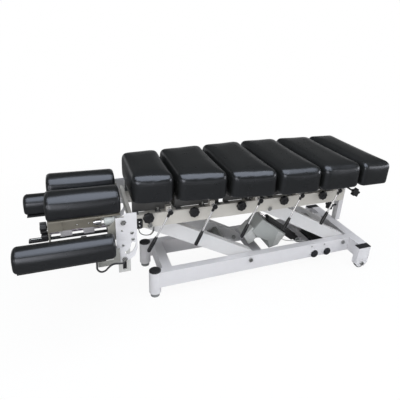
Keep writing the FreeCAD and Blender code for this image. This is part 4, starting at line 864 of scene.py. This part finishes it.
def knob_profile(radius, thickness, stem_radius, stem_length):
    """A lobed knob's profile from the end of its stem to the middle of its face."""
    return ((stem_radius, -stem_length, 0), (stem_radius, -2.6 * MM, 0), (0.5 * radius, -2.5 * MM, 0),
            (0.52 * radius, 0, 0), (radius - 5 * MM, 0.2 * MM, 0.6), (radius - 1.4 * MM, 1.2 * MM, 1),
            (radius, 4 * MM, 1), (radius, thickness - 5 * MM, 1), (radius - 1.2 * MM, thickness - 2 * MM, 1),
            (radius - 4 * MM, thickness - 0.4 * MM, 1), (radius - 7 * MM, thickness - 0.2 * MM, 0.9),
            (0.58 * radius, thickness - 1.6 * MM, 0.9), (0.4 * radius, thickness - 2.2 * MM, 0.3),
            (0.37 * radius, thickness - 0.8 * MM, 0), (0.3 * radius, thickness - 0.1 * MM, 0),
            (0.12 * radius, thickness + 0.2 * MM, 0))


KNOB_LOBES = 8
KNOB_LOBE_DEPTH = 2.4 * MM
KNOB_THICKNESS = 20 * MM
KNOB_STEM_RADIUS = 5 * MM


def tension_knobs(looks):
    """Each section's knob with its shallow lobes, dished face and centre cap."""
    for number in SECTION_NUMBERS:
        node = f"tension_knob_{number}"
        low, high = (Vector(corner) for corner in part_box(node))
        radius = (high.x - low.x) / 2
        centre = ((low.x + high.x) / 2, low.y + KNOB_THICKNESS, (low.z + high.z) / 2)
        profile = knob_profile(radius, KNOB_THICKNESS, KNOB_STEM_RADIUS, high.y - low.y - KNOB_THICKNESS)
        knob = turned(f"knob_{number}", profile, centre, (0, -1, 0), 96, KNOB_LOBES, KNOB_LOBE_DEPTH)
        settle(knob, looks["knob_black"], "black_plastic", f"tension_{number}", node)


LEVER_LEAN = math.radians(24)
LEVER_1_LEAN = math.radians(28)
GRIP_RADIUS = 9.5 * MM
# Turned pieces: radius, height and share of the lobes, from the seat outwards
HUB_CAP = ((12.5 * MM, -3 * MM, 0), (12.5 * MM, 0.5 * MM, 0), (11.5 * MM, 2.2 * MM, 0), (8 * MM, 3.4 * MM, 0),
           (3 * MM, 3.8 * MM, 0))
STICK_COLLAR = ((5.2 * MM, 0, 0), (7 * MM, 0.6 * MM, 0), (7.2 * MM, 9 * MM, 0), (6 * MM, 15 * MM, 0),
                (4.7 * MM, 16 * MM, 0))
COLLAR_BELOW_HUB = 11 * MM
GRIP_DISC = ((6.4 * MM, -1.5 * MM, 0), (6.4 * MM, 0.6 * MM, 0), (5.4 * MM, 1.3 * MM, 0), (1.5 * MM, 1.6 * MM, 0))


def levers(looks):
    """A dark cap over each lever's hub, a collar where its stick leaves it and a bright disc at the grip's end."""
    hinges = {joint["name"]: joint for joint in frame["joints"]}
    for number in SECTION_NUMBERS:
        lean = LEVER_1_LEAN if number == 1 else LEVER_LEAN
        down = Vector((-math.sin(lean), 0, -math.cos(lean)))
        body = f"lever_{number}"
        grip_low, grip_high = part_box(f"lever_grip_{number}")
        hub = Vector(hinges[f"lever_{number}_turn"]["pos_m"])
        hub.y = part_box(f"drop_lever_{number}")[0].y
        cap = turned(f"hub_cap_{number}", HUB_CAP, hub, (0, -1, 0))
        settle(cap, looks["knob_black"], "black_plastic", body)
        hub.y = (grip_low.y + grip_high.y) / 2
        collar = turned(f"stick_collar_{number}", STICK_COLLAR, hub + down * COLLAR_BELOW_HUB, down)
        settle(collar, looks["knob_black"], "black_plastic", body)
        tip = Vector((grip_low.x + GRIP_RADIUS * math.cos(lean), hub.y, grip_low.z + GRIP_RADIUS * math.sin(lean)))
        disc = turned(f"grip_end_{number}", GRIP_DISC, tip, down)
        settle(disc, looks["zinc_bright"], "zinc", body)


ROCKER_FRAME_HALVES = (15.5 * MM, 27 * MM)
ROCKER_FRAME_CORNER = 12 * MM
# The frame's rings: how far in from its outline and how far off the beam
ROCKER_FRAME_RINGS = ((0, 0), (0, 2.2 * MM), (1.2 * MM, 3.4 * MM), (2.4 * MM, 3.4 * MM), (2.9 * MM, 2.4 * MM),
                      (2.9 * MM, 0))
ROCKER_MARKS = (("high", 9.5 * MM), ("low", -9.5 * MM))
ROCKER_MARK = ((3.4 * MM, -1.2 * MM, 0), (3.4 * MM, 0.3 * MM, 0), (2.6 * MM, 0.9 * MM, 0), (0.8 * MM, 1.1 * MM, 0))
RAY_START = 50 * MM
STRAP = ((-0.367, -0.139, 0.4185), (-0.362, -0.139, 0.405), (-0.3605, -0.139, 0.388), (-0.366, -0.139, 0.374),
         (-0.376, -0.139, 0.368))
STRAP_HALF_WIDE, STRAP_THICK = 7 * MM, 1.2 * MM
# How far the strap stands off its line, in its own thickness
STRAP_OFFSET = 3.2


def switch(looks):
    """The rocker's frame on the beam, its two raised marks and the strap that holds its lead."""
    low, high = (Vector(corner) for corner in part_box("rocker_switch"))
    middle = Vector(((low.x + high.x) / 2, 0, (low.z + high.z) / 2))
    face = touch("upper_frame", (low.x - 5 * MM, low.y - RAY_START, middle.z + 14 * MM), (0, 1, 0)).y
    half_wide, half_long = ROCKER_FRAME_HALVES
    rim = []
    for inset, height in ROCKER_FRAME_RINGS:
        wide, long = half_wide - inset, half_long - inset
        corners = [Vector((-wide, -long)), Vector((wide, -long)), Vector((wide, long)), Vector((-wide, long))]
        plan = rounded_plan(corners, ROCKER_FRAME_CORNER - inset)
        rim.append([Vector((middle.x + point.x, face - height, middle.z + point.y)) for point in plan])
    surround = settle(skin("rocker_frame", rim, round_again=True), looks["knob_black"], "button_black", "table")
    surround.data.shade_smooth()
    for name, rise in ROCKER_MARKS:
        seat = touch("rocker_switch", (middle.x, low.y - RAY_START, middle.z + rise), (0, 1, 0))
        mark = turned(f"rocker_mark_{name}", ROCKER_MARK, seat, (0, -1, 0), 24)
        settle(mark, looks["cable_white"], "button_black", "rocker")
    rings = []
    for index, point in enumerate(STRAP):
        ahead = Vector(STRAP[min(index + 1, len(STRAP) - 1)]) - Vector(STRAP[max(index - 1, 0)])
        out = Vector((-ahead.z, 0, ahead.x)).normalized() * STRAP_THICK
        side = Vector((0, STRAP_HALF_WIDE, 0))
        centre = Vector(point) + out * STRAP_OFFSET
        rings.append([centre - side - out / 2, centre + side - out / 2, centre + side + out / 2,
                      centre - side + out / 2])
    strap = skin("lead_strap", rings)
    smooth(strap, 2)
    settle(strap, looks["head_paint"], "head_paint", "table")


# Each bolt's place along and up, and its radius
CHEEK_BOLTS = ((-0.463, 0.430, 7.5 * MM), (-0.460, 0.396, 7.5 * MM), (-0.504, 0.371, 6 * MM))
BESIDE_THE_TABLE = 0.28


def cheek(looks):
    """The round bolts of both cheek plates."""
    for side, sign in (("near", -1), ("far", 1)):
        for number, (along, height, radius) in enumerate(CHEEK_BOLTS, 1):
            seat = touch("cheek_plates", (along, sign * BESIDE_THE_TABLE, height), (0, -sign, 0))
            pan_screw(f"cheek_bolt_{side}_{number}", seat, (0, sign, 0), radius, looks["zinc"], "zinc", "table")


# The armrest's release handle, seen from the side: (along, height)
HANDLE = ((-0.621, 0.366), (-0.621, 0.311), (-0.623, 0.290), (-0.608, 0.272), (-0.588, 0.275), (-0.573, 0.293),
          (-0.552, 0.306), (-0.520, 0.300), (-0.505, 0.300))
HANDLE_ACROSS, HANDLE_RADIUS = 0.236, 4 * MM
SLIDE_ENDS, SLIDE_DEPTHS = (-0.514, -0.486), (0.1884, 0.1864)
SLIDE_ABOVE_BRACKET = (12 * MM, 62 * MM)
TRAY_ENDS, TRAY_DEPTHS, TRAY_HEIGHTS = (-0.616, -0.52), (0.21, 0.213), (0.282, 0.366)


def armrests(looks):
    """A dark slide behind each bracket's slot, and the armrest's bent release handle with its tray."""
    for side, sign in (("front", -1), ("rear", 1)):
        floor_of_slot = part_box(f"armrest_bracket_{side}")[0].z
        body = f"{side}_armrest"
        slide = side_block(f"slot_slide_{side}", sign, SLIDE_ENDS, SLIDE_DEPTHS,
                           [floor_of_slot + above for above in SLIDE_ABOVE_BRACKET], 0.6 * MM)
        settle(slide, looks["black_plastic"], "black_plastic", "table")
        handle = bar(f"armrest_handle_{side}", [(along, sign * HANDLE_ACROSS, height) for along, height in HANDLE],
                     HANDLE_RADIUS, smooth_line=True)
        settle(handle, looks["release_black"], "release_black", body)
        tray = side_block(f"armrest_tray_{side}", sign, TRAY_ENDS, TRAY_DEPTHS, TRAY_HEIGHTS, 1 * MM, 2)
        settle(tray, looks["plate_pale"], "plate_paint", body)


# The head end's covers: ends along, distances from the middle, heights
COVER_ENDS, COVER_DEPTHS, COVER_HEIGHTS = (-0.752, -0.606), (0.1423, 0.1449), (0.455, 0.503)
COVER_SCREWS = ((-0.687, 0.474), (-0.638, 0.474), (-0.615, 0.470))
COVER_SCREW_RADIUS, COVER_SCREW_ACROSS = 4.2 * MM, 0.1448
GUIDE_PLATES = (("right", (-0.620, -0.586)), ("left", (-0.798, -0.744)))
GUIDE_PLATE_DEPTHS, GUIDE_PLATE_HEIGHTS = (0.146, 0.148), (0.4535, 0.5025)
DRUM_AT = (-0.532, 0.160, 0.4815)
DRUM = ((7 * MM, 0, 0), (17 * MM, 0.5 * MM, 0), (18.5 * MM, 3 * MM, 0), (18.5 * MM, 9 * MM, 0),
        (16 * MM, 10 * MM, 0), (16 * MM, 13 * MM, 0), (18.5 * MM, 14 * MM, 0), (18.5 * MM, 40 * MM, 0),
        (17 * MM, 43 * MM, 0), (9 * MM, 43.5 * MM, 0), (8 * MM, 41 * MM, 0), (2 * MM, 41 * MM, 0))
SLEEVE_AT = (-0.590, 0.1605, 0.4815)
SLEEVE = ((6 * MM, 0, 0), (11.5 * MM, 0.6 * MM, 0), (12 * MM, 2 * MM, 0), (12 * MM, 22 * MM, 0),
          (9 * MM, 23 * MM, 0), (9 * MM, 30 * MM, 0), (4 * MM, 30.5 * MM, 0))
TOWARDS_HEAD = (-1, 0, 0)
KNOB_BLOCK = ((-0.830, -0.146, 0.414), (-0.8032, -0.104, 0.4405))
LINK_ROD = ((-0.7965, -0.150, 0.408), (-0.5635, -0.150, 0.408))
LINK_JOINT = ((-0.676, -0.156, 0.401), (-0.652, -0.144, 0.415))
STRIP_ENDS, STRIP_HALF_WIDE, STRIP_HEIGHTS = (2 * MM, 72 * MM), 4 * MM, (-0.6 * MM, 2.6 * MM)


def head_end(looks):
    """The head carriage's covers and screws, the drums, the knob's block, the link rod and the handle's strip."""
    for side, sign in (("near", -1), ("far", 1)):
        cover = side_block(f"carriage_cover_{side}", sign, COVER_ENDS, COVER_DEPTHS, COVER_HEIGHTS, 1 * MM, 2)
        settle(cover, looks["carriage_paint"], "carriage_paint", "head_slide_carriage")
        for number, (along, height) in enumerate(COVER_SCREWS, 1):
            pan_screw(f"cover_screw_{side}_{number}", (along, sign * COVER_SCREW_ACROSS, height), (0, sign, 0),
                      COVER_SCREW_RADIUS, looks["zinc_bright"], "zinc", "head_slide_carriage")
        along, across, height = DRUM_AT
        drum = turned(f"pivot_drum_{side}", DRUM, (along, sign * across, height), TOWARDS_HEAD, 40)
        settle(drum, looks["actuator_grey"], "head_paint", "head_tilt_frame")
    knob_block = block("head_knob_block", *KNOB_BLOCK, 5 * MM)
    settle(knob_block, looks["bracket_paint"], "head_paint", "head_tilt_frame")
    for side, sign in (("near", -1), ("far", 1)):
        for end, ends in GUIDE_PLATES:
            plate = side_block(f"guide_plate_{side}_{end}", sign, ends, GUIDE_PLATE_DEPTHS, GUIDE_PLATE_HEIGHTS,
                               0.8 * MM, 2)
            settle(plate, looks["carriage_paint"], "head_paint", "head_tilt_frame")
        along, across, height = SLEEVE_AT
        sleeve = turned(f"pivot_sleeve_{side}", SLEEVE, (along, sign * across, height), TOWARDS_HEAD, 32)
        settle(sleeve, looks["chrome"], "chrome", "head_tilt_frame")
    settle(bar("link_rod", LINK_ROD, 3 * MM), looks["chrome"], "chrome", "head_tilt_frame")
    joint = block("link_joint", *LINK_JOINT, 2.5 * MM)
    settle(joint, looks["release_black"], "release_black", "head_tilt_frame")
    low, high = (Vector(corner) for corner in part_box("release_bar"))
    middle = (low.y + high.y) / 2
    strip = block("release_strip", (low.x + STRIP_ENDS[0], middle - STRIP_HALF_WIDE, high.z + STRIP_HEIGHTS[0]),
                  (low.x + STRIP_ENDS[1], middle + STRIP_HALF_WIDE, high.z + STRIP_HEIGHTS[1]), 1.2 * MM)
    settle(strip, looks["zinc_bright"], "zinc", "head_release")


# The motor's housing and its case, seen from the side: (along, height)
MOTOR_BOX = ((0.288, 0.305), (0.450, 0.182), (0.413, 0.110), (0.352, 0.098), (0.342, 0.150), (0.262, 0.190),
             (0.240, 0.222), (0.229, 0.234))
MOTOR_END = ((0.448, 0.1795), (0.4125, 0.112), (0.372, 0.103), (0.404, 0.206))
MOTOR_CASE = ((0.234, 0.258), (0.180, 0.204), (0.216, 0.146), (0.243, 0.158), (0.262, 0.188), (0.250, 0.224))
BOX_HALF_DEPTH, END_HALF_DEPTH, CASE_HALF_DEPTH = 54.5 * MM, 55.5 * MM, 48 * MM
GAP_SHADE_ACROSS, GAP_SHADE_RADIUS = -0.0505, 2.6 * MM
GAP_SHADE_PAST_CASE = (12 * MM, 2 * MM)


def motor(looks):
    """The motor's housing, the speckled face at its end, the case behind it and a thin black bar between them,
    painted shade in the gap.
    """
    box = prism("motor_housing", MOTOR_BOX, BOX_HALF_DEPTH, 3 * MM)
    settle(box, looks["motor_paint"], "actuator_grey", "actuator_body")
    end = prism("motor_end_face", MOTOR_END, END_HALF_DEPTH, 2 * MM)
    settle(end, looks["motor_end"], "actuator_grey", "actuator_body")
    case = prism("motor_case", MOTOR_CASE, CASE_HALF_DEPTH, 4 * MM)
    settle(case, looks["motor_end"], "actuator_grey", "actuator_body")
    # Painted shade: a thin black bar along the gap between the housing and the case
    (left, top), (right, bottom) = MOTOR_CASE[-1], MOTOR_CASE[-2]
    above, below = GAP_SHADE_PAST_CASE
    joint = bar("motor_gap_shade", [(left - above, GAP_SHADE_ACROSS, top + above), (right, GAP_SHADE_ACROSS, bottom + below)],
                GAP_SHADE_RADIUS)
    settle(joint, looks["release_black"], "actuator_black", "actuator_body")


BUTTON_SCREWS = ((0.581, 0.134), (0.672, 0.134))
IN_FRONT_OF_BASE = -0.3


def base(looks):
    """The small screws above the buttons."""
    for number, (along, height) in enumerate(BUTTON_SCREWS, 1):
        seat = touch("base_frame", (along, IN_FRONT_OF_BASE, height), (0, 1, 0))
        pan_screw(f"rail_screw_{number}", seat, (0, -1, 0), 5 * MM, looks["zinc"], "zinc", "base")


camera()
LOOKS = finishes()
cords(LOOKS)
motor_cord(LOOKS)
room()
floor()
lamps()
SCENE.view_settings.view_transform = "Standard"
dress(LOOKS)
upholstery(LOOKS)
tension_knobs(LOOKS)
levers(LOOKS)
switch(LOOKS)
cheek(LOOKS)
armrests(LOOKS)
head_end(LOOKS)
motor(LOOKS)
base(LOOKS)
